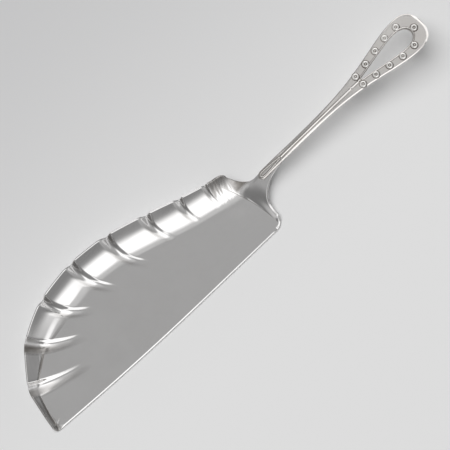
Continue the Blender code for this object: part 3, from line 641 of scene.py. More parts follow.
def ribDark(rib, across, t):
    # painted shade on the steep heel side near the rim, and along the foot on the tip side
    def bell(middle, half):
        return max(0.0, 1 - abs(across - middle) / half)

    run = t * rib["reach"]
    fade = np.clip(1 - run / rib["ribLength"], 0.0, 1.0)
    steep = math.sin(math.pi * min(max((across - blade.steepFrom) / (1 - blade.steepFrom), 0.0), 1.0))
    steep = steep * (1 - ramp(run, *blade.steepRun))
    if rib["creased"]:
        side, flank = blade.creasedDark
        return side * steep + flank * math.sqrt(min(1.0, blade.flankGain * bell(*blade.flankAt))) * fade
    side, foot = blade.ribDark
    return side * steep + foot * bell(*blade.ribFootAt) * np.sin(math.pi * fade) ** 2


def bladeRibs():
    ribs = []
    widths = blade.lobeWidths
    for number, ribLength in enumerate(blade.ribLengths):
        place = lobeShares[number] * rimLength
        point = alongRun(rim, place)
        tangent = rimTangent[np.argmin(np.abs(runLengths(rim) - place))]
        inward = np.array((tangent[1], -tangent[0]))
        fanX = blade.fanX + blade.fanSpread * max(0.0, point[0] - blade.fanStart)
        aim = np.array((fanX, -blade.edgeDrop)) - point
        aim /= np.linalg.norm(aim)
        reach = max(ribLength * blade.ribReach, blade.wallSpread * blade.ribFoot)
        scale = min(1.0, (widths[number] + widths[number + 1]) / 2 / max(widths))
        control = inward * reach * blade.ribBend
        endWay = aim * reach - control
        endSide = np.array((-endWay[1], endWay[0])) / np.linalg.norm(endWay)
        narrow = scale / 2 * (blade.ribEndWidth * endSide - blade.ribWidth * tangent)
        ribs.append({"place": place, "half": blade.ribWidth * scale / 2, "reach": reach,
                     "control": control, "aim": aim * reach, "narrow": narrow,
                     "start": point, "rise": backWall(point[None, :])[0], "creased": number < blade.creasedRibs,
                     "ribLength": ribLength, "height": blade.ribHeight * scale})
    return ribs


def rimLine(place, move, rib=None, across=0.0):
    start = alongRun(rim, place)
    return bladeLine(lambda t: start + move(1 - t), None, rib, across, place=place)


def lobeBetween(start, startMove, end, endMove):
    lines = []
    for share in np.linspace(0.0, 1.0, blade.lobeLines + 2)[1:-1]:
        def move(t, s=share):
            return (1 - s) * startMove(t) + s * endMove(t)
        lines.append(rimLine(blend(start, end, share), move))
    return lines


def rimLines():
    lines = []
    last = rimLength
    lastMove = lambda t: t[:, None] * np.array((0.0, -blade.wallFoot))
    tipMove = lambda t: t[:, None] * np.array(blade.tipInset)
    for rib in reversed(bladeRibs()):
        offsets = np.linspace(1.0, -1.0, blade.ribLines)
        moves = [lambda t, r=rib, o=across: ribMove(r, o, t) for across in offsets]
        lines += lobeBetween(last, lastMove, rib["place"] + rib["half"], moves[0])
        for across, move in zip(offsets, moves):
            lines.append(rimLine(rib["place"] + across * rib["half"], move, rib, across))
        last, lastMove = rib["place"] - rib["half"], moves[-1]
    lines += lobeBetween(last, lastMove, 0.0, tipMove)
    lines.append(rimLine(0.0, tipMove))
    return lines


def lineRows(line):
    even = np.linspace(0.0, 1.0, blade.rows)
    if line["place"] is None:
        return 1 - (1 - even) ** (1 + line["crowd"])
    # near the tip one row keeps to the sharp foot of the wall
    keep = smoothStep(line["place"] / blade.footRowStart) * (1 - ramp(line["place"], *blade.footRowEnd))
    fine = np.linspace(0.0, 1.0, blade.footSteps)
    depth, length = rimField.measure(line["path"](fine))
    foot = np.interp(0.0, (depth - blade.wallSpread * wallGrow(length))[::-1], fine[::-1])
    kept = np.interp(even, (0.0, even[blade.footRow], 1.0), (0.0, np.clip(foot, *blade.footLimits), 1.0))
    return blend(even, kept, keep)


def bladeTree():
    tree, given = newGeometryTree("flutedSheet", Ribs="Float", Weld="Float", Finish="Material")

    def moved(geometry, amount, way="outward"):
        inputs = {0: namedNode(tree, way, "FLOAT_VECTOR"), "Scale": amount}
        offset = addNode(tree, "ShaderNodeVectorMath", inputs, operation="SCALE").outputs[0]
        return addNode(tree, "GeometryNodeSetPosition", {"Geometry": geometry, "Offset": offset}).outputs[0]

    half = namedNode(tree, "halfSheet", "FLOAT")
    lift = mathNode(tree, "MULTIPLY", namedNode(tree, "ribLift", "FLOAT"), given["Ribs"])
    fluted = moved(given["Geometry"], lift, "ribWay")
    lower = moved(fluted, mathNode(tree, "MULTIPLY", half, -1.0))
    lower = addNode(tree, "GeometryNodeFlipFaces", {0: lower}).outputs[0]
    both = joinNode(tree, lower, moved(fluted, half))
    return finishTree(tree, given, weldNode(tree, both, given["Weld"]))


def bladeShadeAndWear(plan, depth, length, ribs):
    # painted shade on the silver, where it has worn dull, and where it kept the marks of the hammer
    foot = depth - blade.wallSpread * wallGrow(length)
    past = length - lobeShares[-2] * rimLength            # into the last lobe
    heel = plan[:, 0] - blade.length
    # streaky painted shade over the rim part of the last lobe, in place of a dark reflection
    fine, sway, slow = blade.streak
    streak = 0.5 + 0.5 * np.sin(past / fine + sway * np.sin(past / slow))
    lobeShade = 1 - ramp(depth - blade.streakDepth * streak, blade.stainDepth, blade.stainFade)
    lobeShade = blade.stainDark * lobeShade * ramp(past, *blade.stainStart)
    throat = ramp(heel, *blade.throatStart) * ramp(plan[:, 1], *blade.throatSide)
    # painted shade on the ribs, the last lobe, the tip's end and the throat
    recess = np.maximum.reduce([ribs["recess"], lobeShade * (1 - blade.streakShare * (1 - streak)),
                                blade.tipDark * (1 - ramp(plan[:, 0], *blade.tipDarkEnd)),
                                blade.throatDark * throat])
    lastLobe = smoothStep(past / blade.beatenStart) * (1 - ramp(depth, *blade.beatenDepth))
    lastLobe = lastLobe * (1 - ramp(heel, *blade.beatenEnd))
    nearTip = (1 - ramp(length, *blade.tipBeatenEnd)) * (1 - ramp(foot, *blade.tipBeatenDepth))
    # the foot and heel lines are painted shade along the creases
    return {"recess": recess, "frost": ribs["frost"],
            "footGap": foot + blade.footOffset,
            "footShare": blade.footDark * (1 - ramp(length, *blade.footDarkEnd)) * ribs["clear"],
            "heelGap": plan[:, 0] - heelFoot(plan),
            "heelShare": blade.heelDark * ramp(plan[:, 1] + blade.edgeDrop, *blade.heelDarkStart),
            "beaten": np.maximum(lastLobe, blade.tipBeaten * nearTip)}


def lineSheet(line):
    # shares along a line, the sheet's thickness at them, and half of it with the edge rounded off
    ends = line["path"](np.array((0.0, 1.0)))
    length = np.linalg.norm(ends[1] - ends[0])
    edge, start = line["edge"], blade.bevelStart
    if line["ease"]:
        start = max(start, 1 - blade.easedWidth / length)
        rise = np.diff(underside(line["path"](np.array((start, 1.0)))))[0]
        thinned = blade.sheet - rise - blade.easedSlope * blade.easedWidth
        edge = blend(edge, max(blade.easedLeast, min(blade.sheet, thinned)), line["ease"])
        start = blend(blade.bevelStart, start, line["ease"])
    rounded = min(0.5, edge / 2 / length)
    t = np.concatenate([(1 - rounded) * lineRows(line), 1 - rounded * np.array(blade.edgeRows)])
    sheet = blend(blade.sheet, edge, np.clip((t - start) / (1 - start), 0.0, 1.0))
    nose = np.clip((1 - t) / rounded, 0.0, 1.0)
    return t, sheet, sheet / 2 * np.sqrt(1 - (1 - nose) ** 2)


def ribValues(rib, across, t):
    none = np.zeros(len(t))
    if not rib:
        return {"ribLift": none, "recess": none, "frost": none, "clear": none + 1.0, "creased": none}
    clear = min(1.0, max(0.0, abs(across) - blade.footClear) / (1 - blade.footClear))
    dulled = (1 - across ** blade.frostPower) * (1 - ramp(t * rib["reach"], *blade.frostRun))
    return {"ribLift": ribHeightAt(rib, across, t), "recess": ribDark(rib, across, t),
            "frost": dulled if rib["creased"] else none, "clear": none + clear, "creased": none + rib["creased"]}


def makeBlade():
    lines = edgeLines() + heelLines() + shoulderLines() + rimLines()
    count = len(lines)
    plan, found = [], []
    for line in lines:
        t, sheet, half = lineSheet(line)
        plan.append(line["path"](t))
        found.append({"thick": sheet, "halfSheet": half, **ribValues(line["rib"], line["across"], 1 - t)})
    rows = len(plan[0])
    plan = np.vstack(plan)
    ribs = {label: np.concatenate([values[label] for values in found]) for label in found[0]}
    outward = undersideNormals(plan)
    middle = np.column_stack([plan, underside(plan) + ribs["thick"] / 2 / outward[:, 2]])

    faces = [tuple(line * rows for line in range(count))]
    for line in range(count):
        a, b = line * rows, (line + 1) % count * rows
        faces += [(a + r, a + r + 1, b + r + 1, b + r) for r in range(rows - 1)]
    depth, length = rimField.measure(plan)
    # over the creased part of the wall the ribs rise along an evenly turning direction
    rest = smoothStep(depth / (blade.creasedReach * blade.wallSpread * wallGrow(length)))[:, None]
    even = (1 - rest) * np.array(blade.creasedWay) + rest * np.array((0.0, 0.0, 1.0))
    even /= np.linalg.norm(even, axis=1)[:, None]
    ribWay = np.where(ribs["creased"][:, None] > 0, even, outward)
    floats = {"ribLift": ribs["ribLift"], "halfSheet": ribs["halfSheet"], **bladeShadeAndWear(plan, depth, length, ribs)}
    piece = newPiece("blade", middle, [], faces, floats, {"outward": outward, "ribWay": ribWay})
    bakeTree(piece, bladeTree(), {"Ribs": 1.0, "Weld": blade.weld, "Finish": silverMaterial(bladeFinish)})
    for vertex in piece.data.vertices:                    # swollen ends are filed flush with the solid's box
        vertex.co.x = max(vertex.co.x, bladeLow.x)
        vertex.co.y = min(vertex.co.y, bladeHigh.y)
    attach(piece, "root")
    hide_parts("blade")
    print("blade", len(piece.data.vertices), "points")


makeBlade()


# Handle

handleSpec = {
    # Bar, its easing and ridge
    "overall": 0.3164, "stemDepth": 0.0033, "tongueRound": 0.003, "stemCrown": 0.0007, "crownStart": 0.8,
    "ridgeWidth": 0.0012, "ridgeHeight": 0.00035, "flareStart": 0.101, "flarePower": 1.75,
    "terminalWidth": 0.0238, "terminalDepth": 0.0024, "endRound": 0.0124, "endSquare": 2.5,
    "edgeWidth": 0.0008, "edgeSlope": 0.5, "endWidth": 0.0015, "endSlope": 0.17, "leftWidth": 0.0005,
    "edgeBlend": 0.0003, "blendShare": 0.4, "leastSlope": 0.05, "widthShare": 0.42, "dropShare": 0.45,
    "endFacing": (58.0, 28.0), "leftFacing": (10.0, 25.0),    # degrees that the outline faces off the axis
    "holeRound": 0.0005, "holeShare": 0.3, "lapGap": 0.00005, "lapClear": 0.0003, "crownEnd": 0.0042,
    "ridgeFall": 0.5, "beads": (0.0092, 0.0027), "beadSize": 0.00045, "beadHeight": 0.0003,
    # Opening, and the threads round it and on the tongue
    "eyeLength": 0.0405, "eyeWidth": 0.0109, "eyeMargin": 0.0085, "eyeTip": 0.0005,
    "thread": 0.0007, "threadMargin": 0.0002,
    "loopLength": 0.016, "loopWidth": 0.0034, "loopMargin": 0.0008, "loopTip": 0.00042,
    # Mesh: columns from the middle to the edge as shares, stations along the bar, sides of curves
    "columns": (0.0, 0.006, 0.016, 0.03, 0.05, 0.075, 0.105, 0.14, 0.18, 0.23, 0.29, 0.36, 0.44, 0.52, 0.60,
                0.67, 0.73, 0.785, 0.83, 0.87, 0.905, 0.935, 0.96, 0.978, 0.99, 0.997, 1.0),
    "eyeLead": 0.004, "eyePast": 0.0015, "capShare": 0.6, "capEnds": (0.03, 0.02),
    "frontStations": 16, "stemStations": 150, "leadStations": 24, "eyeStations": 131, "pastStations": 14,
    "endStations": 20, "capStations": 34, "outlineSides": 3000, "eyeSides": 1200, "loopSides": 400,
    "eyeThreadSides": 220, "loopThreadSides": 120, "threadSides": 14, "weld": 1e-7,
    # Painted shade, and a darker tone on the dulled plate: strength and half width of the lines, then strengths and
    # reaches
    "eyeDark": (1.2, 0.00028), "eyeDarkReach": 0.004, "loopDark": (1.3, 0.00030), "besideLoop": 0.25,
    "awayDark": 0.5, "awayReach": 1.2, "frostDark": 0.2, "frostStart": 0.5, "frostClear": 0.0005,
    "ridgeDark": ((0.8, 0.0007), (0.9, 0.0012)), "ridgeDarkStart": -0.0002,    # left and right of the ridge
}
handle = SimpleNamespace(**handleSpec)
tongueX = blade.length + blade.tongueStart
eyeEnd = handle.overall - handle.eyeMargin
eyeTipX = eyeEnd - handle.eyeLength
flareX = handle.overall - handle.flareStart
roundX = handle.overall - handle.endRound
ridgeStart = tongueX + handle.loopMargin + handle.loopLength


def handleTop(x):
    return spineLevel(x) + handle.stemDepth


def handleHalf(x):
    share = np.clip((x - flareX) / (roundX - flareX), 0.0, 1.0) ** handle.flarePower
    width = blend(stemHalf, handle.terminalWidth / 2, smoothStep(share))
    end = np.clip((x - roundX) / handle.endRound, 0.0, 1.0) ** handle.endSquare
    front = np.clip((tongueX + handle.tongueRound - x) / handle.tongueRound, 0.0, 1.0) ** 2
    return width * (1 - end) ** (1 / handle.endSquare) * (1 - front) ** 0.5


def eyeRun(offset, sides):
    tip = handle.eyeTip
    core = teardropRun(handle.eyeLength - 2 * tip, handle.eyeWidth - 2 * tip, tip + offset, sides)
    return core + (eyeTipX + tip, 0.0)


def loopRun(sides):
    inset = handle.thread + 2 * handle.loopTip
    run = teardropRun(handle.loopLength - inset, handle.loopWidth - inset, handle.loopTip, sides)
    tip = tongueX + handle.loopMargin + handle.loopLength - inset / 2
    return np.column_stack([tip - run[:, 0], -run[:, 1]])


def closedRun(run):
    return np.vstack([run, run[:1]])


def handleStations():
    frontEnd, backEnd = handle.capEnds
    front = tongueX + handle.tongueRound * (1 - np.cos(np.linspace(frontEnd, math.pi / 2, handle.frontStations)))
    stem = np.linspace(front[-1], eyeTipX - handle.eyeLead, handle.stemStations)[1:]
    lead = np.linspace(stem[-1], eyeTipX, handle.leadStations)[1:-1]
    share = (1 - np.cos(np.linspace(0.0, math.pi, handle.eyeStations))) / 2
    eye = eyeTipX + handle.eyeLength * share
    past = np.linspace(eyeEnd, eyeEnd + handle.eyePast, handle.pastStations)[1:]
    end = np.linspace(past[-1], roundX + handle.capShare * handle.endRound, handle.endStations)[1:]
    turn = np.linspace(math.asin(handle.capShare), math.pi / 2 - backEnd, handle.capStations)
    cap = roundX + handle.endRound * np.sin(turn[1:])
    return np.concatenate([front, stem, lead, eye, past, end[end < cap[0]], cap])


def easedDrop(distance, width, slope):
    # a flat chamfer, blended into the face it is cut from
    inside = np.clip(width - distance, 0.0, width)
    soft = np.minimum(handle.edgeBlend, handle.blendShare * width)
    return slope * np.where(inside < soft, inside ** 2 / (2 * soft), inside - soft / 2)


def roundedDrop(distance, radius):
    inside = np.clip(radius - distance, 0.0, radius)
    return radius - np.sqrt(np.clip(radius ** 2 - inside ** 2, 0.0, None))


def handleTree():
    tree, given = newGeometryTree("threadedHandle", Thread="Float", Weld="Float", Finish="Material")
    inputs = {"Geometry": given["Geometry"], "Selection": namedNode(tree, "threadLine", "FLOAT")}
    parts = addNode(tree, "GeometryNodeSeparateGeometry", inputs, domain="POINT").outputs
    path = addNode(tree, "GeometryNodeMeshToCurve", {"Mesh": parts["Selection"]}).outputs[0]
    path = addNode(tree, "GeometryNodeSetCurveNormal", {"Curve": path}, mode="Z_UP").outputs[0]
    inputs = {"Resolution": handle.threadSides, "Radius": mathNode(tree, "MULTIPLY", given["Thread"], 0.5)}
    profile = addNode(tree, "GeometryNodeCurvePrimitiveCircle", inputs).outputs[0]
    sweep = addNode(tree, "GeometryNodeCurveToMesh", {"Curve": path, "Profile Curve": profile}).outputs[0]
    both = joinNode(tree, sweep, weldNode(tree, parts["Inverted"], given["Weld"]))
    return finishTree(tree, given, both)


def eyeSide(x, left=None):
    # half width of the opening
    eye = closedRun(eyeRun(0.0, handle.eyeSides))
    upper = eye[eye[:, 1] >= 0]
    upper = upper[np.argsort(upper[:, 0])]
    return np.interp(x, upper[:, 0], upper[:, 1], left, left)


def handleForm(plan, half):
    # heights of the bar before its edges are eased
    px, py = plan.T
    crowned = smoothStep((px - tongueX) / handle.loopLength - handle.crownStart)
    crowned = crowned * (1 - ramp(px, flareX, eyeTipX - handle.crownEnd - flareX))
    crown = handle.stemCrown * crowned * (py / half) ** 2
    ridge = ramp(px, ridgeStart, handle.ridgeWidth) * ramp(-px, -eyeTipX, handle.ridgeWidth)
    beads = sum(np.exp(-((px - eyeTipX + place) / handle.beadSize) ** 2) for place in handle.beads)
    crest = handle.ridgeHeight * ridge + handle.beadHeight * beads
    leftFlank = np.sqrt(np.clip(1 - (2 * py / handle.ridgeWidth) ** 2, 0.0, None))
    rightFlank = np.clip(1 - py * handle.ridgeFall / np.maximum(crest, 1e-6), 0.0, 1.0)
    level = handleTop(px)
    thin = ramp(px, flareX, handle.flareStart - handle.eyeLength)
    low = level - handle.stemDepth + (handle.stemDepth - handle.terminalDepth) * thin
    # the tongue lies on the tang
    slope = blend(blade.stemSlope, blade.heelSlope, np.exp(-(px - creaseX(0.0)) / blade.slopeEase))
    lap = spineLevel(px) + blade.sheet * np.hypot(1.0, slope) + handle.lapGap
    low = np.where(px < tangEnd + handle.lapClear, lap, low)
    flanks = crest * leftFlank, crest * rightFlank
    return SimpleNamespace(level=level, low=low, crown=crown, ridge=ridge, flanks=flanks)


def handleEdges(plan, half, form):
    # distances to the outline and the opening, and how far the left and the right half drop beside them
    px, py = plan.T
    fine = np.linspace(px[0], px[-1], handle.outlineSides)
    outline = np.vstack([(fine[0], 0.0), np.column_stack([fine, handleHalf(fine)]), (fine[-1], 0.0)])
    edgeField = RunField(outline)
    toEdge, edgeLength = edgeField.measure(plan)
    toEdge = np.abs(toEdge)
    edgeWay = np.gradient(outline, axis=0)
    facing = np.interp(edgeLength, edgeField.lengths, np.degrees(np.arctan2(edgeWay[:, 0], -edgeWay[:, 1])))
    toHole = np.abs(RunField(closedRun(eyeRun(0.0, handle.eyeSides))).measure(plan)[0])
    # the end is eased widest, then the right-hand edge, and the left-hand edge least
    along, left = ramp(facing, *handle.endFacing), ramp(facing, *handle.leftFacing)
    rightWidth = blend(handle.endWidth, handle.edgeWidth, along)
    rightSlope = blend(handle.endSlope, handle.edgeSlope, along)
    rightSlope = np.maximum(rightSlope - 2 * form.crown / np.maximum(py, 1e-6), handle.leastSlope)
    depth = form.level - form.low
    holeDrop = roundedDrop(toHole, np.minimum(handle.holeRound, handle.holeShare * depth))
    drops = []
    for share in (left, 0.0):
        width = np.minimum(blend(rightWidth, handle.leftWidth, share), handle.widthShare * half)
        slope = np.minimum(blend(rightSlope, handle.edgeSlope, share), handle.dropShare * depth / width)
        drops.append(easedDrop(toEdge, width, slope) + holeDrop)
    drops[0] = np.where(py > 0, drops[0], drops[1])       # the halves meet on the middle line
    return SimpleNamespace(toEdge=toEdge, toHole=toHole, left=left, width=rightWidth, drops=drops)


def handleShadeAndWear(plan, ridge, edges):
    # painted shade along the threads, beside the ridge and on the edge that looks away from the window, and dulled
    # plate
    def darkLine(distance, strength, reach):
        return np.clip(strength - np.abs(distance - handle.thread / 2) / reach, 0.0, 1.0)

    px, py = plan.T
    toThread = np.abs(edges.toHole - handle.threadMargin - handle.thread / 2)
    toThread = np.where(edges.toHole < handle.eyeDarkReach, toThread, 1.0)
    toLoop = RunField(closedRun(loopRun(handle.loopSides))).measure(plan)[0]    # negative within the loop
    besideLoop = handle.besideLoop * ((px < ridgeStart) & (toLoop > 0))
    besideRidge = py - handle.ridgeWidth / 2
    frost = ramp(px, flareX, eyeTipX - flareX) * smoothStep(edges.toEdge / edges.width - handle.frostStart)
    frost = frost * (1 - ridge * (1 - smoothStep(besideRidge / handle.frostClear)))
    common = np.maximum.reduce([darkLine(toThread, *handle.eyeDark), darkLine(np.abs(toLoop), *handle.loopDark),
                                besideLoop, handle.frostDark * frost])
    past = ridge * (besideRidge > handle.ridgeDarkStart)
    leftDark, rightDark = (np.maximum(common, strength * past * (1 - smoothStep(besideRidge / reach)))
                           for strength, reach in handle.ridgeDark)
    awayEdge = np.clip(handle.awayReach - edges.toEdge / handle.leftWidth, 0.0, 1.0)
    awayEdge = handle.awayDark * awayEdge * edges.left
    # left half above and below, then right half above and below
    return (np.maximum(leftDark, awayEdge), awayEdge, rightDark, np.zeros(len(plan))), frost


def makeHandle():
    x = handleStations()
    half, hole = handleHalf(x), eyeSide(x, 0.0)
    hole[(x <= eyeTipX) | (x >= eyeEnd - 1e-9)] = 0.0
    columns = np.array(handle.columns)
    count, wide = len(x), len(columns)
    y = hole[:, None] + (half - hole)[:, None] * columns
    px, py = np.repeat(x, wide), y.ravel()
    plan, half = np.column_stack([px, py]), np.repeat(half, wide)
    form = handleForm(plan, half)
    eased = handleEdges(plan, half, form)

    # left and right halves, each a sheet above and a sheet below, welded along the middle
    points, faces = [], []

    def grid(side, z):
        start = len(points)
        points.extend(np.column_stack([px, side * py, z]).tolist())
        return start

    def strip(first, second, turn):
        for a, b, c, d in zip(first, first[1:], second[1:], second):
            quad = int(a), int(b), int(c), int(d)
            faces.append(quad if turn else quad[::-1])

    inside = np.flatnonzero(hole > 0)
    ids = np.arange(count * wide).reshape(count, wide)
    hem = ids[inside[0] - 1:inside[-1] + 2, 0]            # a half's side of the opening
    for side, flank, drop in zip((1, -1), form.flanks, eased.drops):
        above, below = grid(side, form.level - form.crown + flank - drop), grid(side, form.low + drop)
        flip = side > 0
        for row, after in zip(ids, ids[1:]):
            strip(above + row, above + after, not flip)
            strip(below + row, below + after, flip)
        for line, turn in ((ids[:, -1], not flip), (hem, flip), (ids[0], flip), (ids[-1], not flip)):
            strip(above + line, below + line, turn)

    # middle lines of the two threads, left as bare edges for the sweep
    body = len(points)
    edges = []
    besideEye = handle.threadMargin + handle.thread / 2
    for line in (eyeRun(besideEye, handle.eyeThreadSides), loopRun(handle.loopThreadSides)):
        start = len(points)
        points.extend(np.column_stack([line, handleTop(line[:, 0])]).tolist())
        edges += [(start + i, start + (i + 1) % len(line)) for i in range(len(line))]
    threadLine = np.arange(len(points)) >= body
    recess, frost = handleShadeAndWear(plan, form.ridge, eased)
    bare = np.zeros(len(points) - body)
    recess, frost = np.concatenate([*recess, bare]), np.concatenate([np.tile(frost, 4), bare])
    piece = newPiece("handle", points, edges, faces, {"threadLine": threadLine, "recess": recess, "frost": frost})
    values = {"Thread": handle.thread, "Weld": handle.weld, "Finish": silverMaterial(handleFinish)}
    bakeTree(piece, handleTree(), values)
    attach(piece, "root")
    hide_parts("handle")
    print("handle", len(piece.data.vertices), "points")


makeHandle()


# Studs, turned and riveted round the opening

studSpec = {
    "pairs": 5, "lead": 0.0019, "end": 0.0048, "leadReach": 0.0031, "gap": 0.00045,
    "head": 0.0042, "headHeight": 0.0009, "shank": 0.0016, "tail": 0.0028, "tailHeight": 0.0005,
    "sides": 40, "seat": 0.0004, "seatDepth": 0.00012,
    "seatRise": ((0.1, 0.00003), (1.0, 0.00002)),         # shares of the seat, and how high it stands
    # head from its middle to its side: shares of its radius and height, and how much painted shade and tarnish it has
    "profile": ((0.0, 0.96, 0.0), (0.09, 0.93, 0.0), (0.17, 0.82, 0.2), (0.23, 0.58, 0.9), (0.28, 0.38, 1.0),
                (0.35, 0.35, 1.0), (0.40, 0.50, 0.9), (0.45, 0.78, 0.3), (0.50, 0.93, 0.0), (0.56, 0.985, 0.0),
                (0.64, 0.95, 0.0), (0.73, 0.86, 0.0), (0.82, 0.75, 0.0), (0.90, 0.62, 0.1), (0.96, 0.44, 0.5),
                (1.0, 0.15, 1.0)),
    "tailProfile": ((1.0, 0.04, 0.5), (0.97, 0.6, 0.0), (0.8, 1.0, 0.0), (0.0, 1.0, 0.0)),
}
stud = SimpleNamespace(**studSpec)


def studPlaces():
    beside = stud.gap + stud.head / 2
    first = eyeTipX - stud.lead
    pitch = (handle.eyeLength + stud.lead - stud.end) / (stud.pairs - 1)
    places = [(eyeEnd + beside, 0.0), (first, stud.leadReach), (first, -stud.leadReach)]
    for pair in range(1, stud.pairs):
        x = first + pair * pitch
        y = float(eyeSide(x)) + beside
        places += [(x, y), (x, -y)]
    return np.array([(x, y, float(handleTop(x))) for x, y in places])


def studShape():
    # one stud about its own axis, its seat at zero
    radius, shank, low = stud.head / 2, stud.shank / 2, -handle.terminalDepth
    line = [(r * radius, z * stud.headHeight, dark) for r, z, dark in stud.profile]
    # the seat round the head is painted dark, a painted shadow at the stud's foot
    line += [(radius + share * stud.seat, z, 1.0) for share, z in stud.seatRise]
    line += [(radius + stud.seat, -stud.seatDepth, 1.0), (shank, -stud.seatDepth, 0.0), (shank, low, 0.0)]
    line += [(r * stud.tail / 2, low - z * stud.tailHeight, dark) for r, z, dark in stud.tailProfile]
    sides = stud.sides
    turn = 2 * math.pi * np.arange(sides) / sides
    points, recess = [(0.0, 0.0, line[0][1])], [0.0]
    for r, z, dark in line[1:-1]:
        points += [(r * math.cos(a), r * math.sin(a), z) for a in turn]
        recess += [dark] * sides
    points.append((0.0, 0.0, line[-1][1]))
    recess.append(0.0)
    faces = []
    rings = len(line) - 2
    for i in range(sides):
        j = (i + 1) % sides
        faces.append((0, 1 + i, 1 + j))
        last = 1 + (rings - 1) * sides
        faces.append((len(points) - 1, last + j, last + i))
        for ring in range(rings - 1):
            a = 1 + ring * sides
            faces.append((a + i, a + sides + i, a + sides + j, a + j))
    return newPiece("studShape", points, [], faces, {"recess": recess}, origin=(0.0, 0.0, 0.0))


def studTree():
    tree, given = newGeometryTree("studRow", Stud="Object", Lean="Float", Finish="Material")
    source = addNode(tree, "GeometryNodeObjectInfo", {"Object": given["Stud"]}, transform_space="ORIGINAL").outputs
    lean = addNode(tree, "ShaderNodeCombineXYZ", {"Y": given["Lean"]}).outputs[0]
    inputs = {"Points": given["Geometry"], "Instance": source["Geometry"], "Rotation": lean}
    return finishTree(tree, given, addNode(tree, "GeometryNodeInstanceOnPoints", inputs).outputs[0])


def makeStuds():
    shape = studShape()
    piece = newPiece("studs", studPlaces(), [], [])
    values = {"Stud": shape, "Lean": -math.atan(blade.stemSlope), "Finish": silverMaterial(studFinish)}
    bakeTree(piece, studTree(), values)
    bpy.data.objects.remove(shape)
    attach(piece, "root")
    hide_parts(*(name for name in sorted(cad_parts) if name.startswith("stud_")))
    print("studs", len(piece.data.vertices), "points")


makeStuds()


# Table, and the soft light over it

tableSpec = {
    "size": 3.0,
    "near": (0.865, 0.865, 0.865, 1.0),
    "far": (0.66, 0.66, 0.665, 1.0),
    "fade": (-0.08, 0.22),   # from where to where it darkens towards the back of the table: a painted falloff of the light
    "rough": 0.9, "gloss": 0.1,
}


def makeTable(spec):
    half = spec["size"] / 2
    mesh = bpy.data.meshes.new("table")
    mesh.from_pydata([(-half, -half, 0), (half, -half, 0), (half, half, 0), (-half, half, 0)], [], [(0, 1, 2, 3)])
    table = bpy.data.objects.new("table", mesh)
    scene.collection.objects.link(table)
    material = bpy.data.materials.new("tablePaper")
    material.use_nodes = True
    tree = material.node_tree
    shader = tree.nodes["Principled BSDF"].inputs
    place = separateNode(tree, addNode(tree, "ShaderNodeTexCoord").outputs["Object"])
    fade = rangeNode(tree, place["Y"], *spec["fade"], 0.0, 1.0)
    feed(tree, shader["Base Color"], mixColour(tree, fade, spec["near"], spec["far"]))
    shader["Roughness"].default_value = spec["rough"]
    shader["Specular IOR Level"].default_value = spec["gloss"]
    mesh.materials.append(material)


makeTable(tableSpec)

# Angles are in degrees. A pair says from where to where the light comes or goes
lightSpec = {
    "ceiling": 0.41,
    "glow": 0.60, "glowFront": (0.15, -0.12), "glowTurn": (-66.0, -40.0),    # light grey wall behind the window
    "window": 1.35, "windowLow": (20.0, 36.0), "windowHigh": (63.0, 78.0),
    "windowSide": (-86.0, -60.0), "windowEnd": (-136.0, -126.0),
    "windowTop": (-23.5, -19.0), "windowSlope": 1.08,    # its head slopes, so it is read from height and turn together
    # Patches: level, then the turn of the middle, half the width and the soft edge, then the heights
    # at which it comes and goes
    "behind": (
        (1.15, (4.0, 66.0, 12.0), (48.0, 58.0), (66.0, 75.0)),      # bright band high over the handle's end
        (0.25, None, None, (12.0, 40.0)),                           # low wall all round
        (0.42, (-128.0, 16.0, 12.0), None, (45.0, 65.0)),           # beside the window
    ),
    "before": (
        (0.26, (-8.0, 24.0, 40.0), None, (46.0, 60.0)),             # dark wall past the handle's end
        (1.3, (43.0, 28.0, 7.0), (2.0, 14.0), (56.0, 70.0)),        # bright side, behind the handle
        (0.32, (104.0, 24.0, 6.0), None, (66.0, 76.0)),             # shade behind the back wall
        (0.24, (180.0, 16.0, 18.0), None, (62.0, 78.0)),            # wall beyond the tip
        (0.20, (180.0, 16.0, 18.0), (40.0, 48.0), (52.0, 66.0)),    # and its darkest band
        (0.6, (180.0, 16.0, 18.0), None, (31.0, 43.0)),             # gleam below that
    ),
    "fill": 0.12,            # level that lights the table, apart from the key
    "keyStrength": 2.47, "keyFrom": (-0.18, 0.42, 1.0), "keyAngle": 62.0,
}


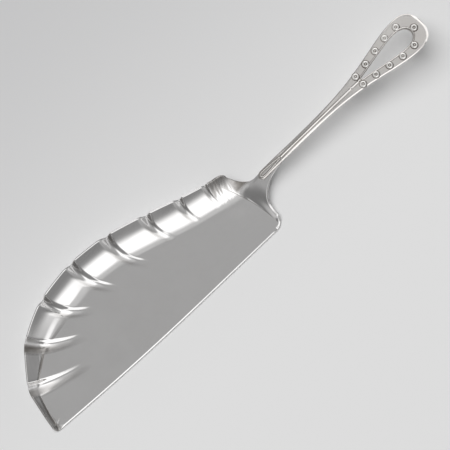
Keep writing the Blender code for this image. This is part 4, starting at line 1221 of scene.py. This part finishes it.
def makeLight(spec):
    world = bpy.data.worlds.new("softStudio")
    world.use_nodes = True
    scene.world = world
    tree = world.node_tree
    x, y, z = separateNode(tree, addNode(tree, "ShaderNodeTexCoord").outputs["Generated"])
    azimuth = mathNode(tree, "DEGREES", mathNode(tree, "ARCTAN2", y, x))
    elevation = mathNode(tree, "DEGREES", mathNode(tree, "ARCSINE", z))

    def layer(under, over, *covers):
        cover = covers[0]
        for more in covers[1:]:
            cover = mathNode(tree, "MULTIPLY", cover, more)
        return addNode(tree, "ShaderNodeMix", {0: cover, 2: under, 3: over}, data_type="FLOAT").outputs[0]

    def comes(value, limits):
        return rangeNode(tree, value, *limits, 0.0, 1.0)

    def goes(value, limits):
        return rangeNode(tree, value, *limits, 1.0, 0.0)

    def patch(under, over, turn, rise, fall):
        covers = []
        if turn:
            middle, half, soft = turn
            away = mathNode(tree, "WRAP", mathNode(tree, "SUBTRACT", azimuth, middle), 180.0, -180.0)
            covers.append(goes(mathNode(tree, "ABSOLUTE", away), (half, half + soft)))
        if rise:
            covers.append(comes(elevation, rise))
        return layer(under, over, *covers, goes(elevation, fall))

    level = layer(spec["ceiling"], spec["glow"], comes(y, spec["glowFront"]), goes(azimuth, spec["glowTurn"]))
    for part in spec["behind"]:
        level = patch(level, *part)
    head = mathNode(tree, "ADD", elevation, mathNode(tree, "MULTIPLY", azimuth, spec["windowSlope"]))
    level = layer(level, spec["window"], comes(elevation, spec["windowLow"]), goes(head, spec["windowTop"]),
                  goes(elevation, spec["windowHigh"]), goes(azimuth, spec["windowSide"]),
                  comes(azimuth, spec["windowEnd"]))
    for part in spec["before"]:
        level = patch(level, *part)
    path = addNode(tree, "ShaderNodeLightPath").outputs
    seen = mathNode(tree, "ADD", path["Is Camera Ray"], path["Is Glossy Ray"])
    seen = mathNode(tree, "MINIMUM", mathNode(tree, "ADD", seen, path["Is Transmission Ray"]), 1.0)
    feed(tree, tree.nodes["Background"].inputs["Color"], layer(spec["fill"], level, seen))

    lamp = bpy.data.lights.new("keyLight", "SUN")
    lamp.energy = spec["keyStrength"]
    lamp.angle = math.radians(spec["keyAngle"])
    key = bpy.data.objects.new("keyLight", lamp)
    scene.collection.objects.link(key)
    key.rotation_euler = Vector(spec["keyFrom"]).to_track_quat("Z", "Y").to_euler()
    key.visible_glossy = False


makeLight(lightSpec)
print("table and light made")
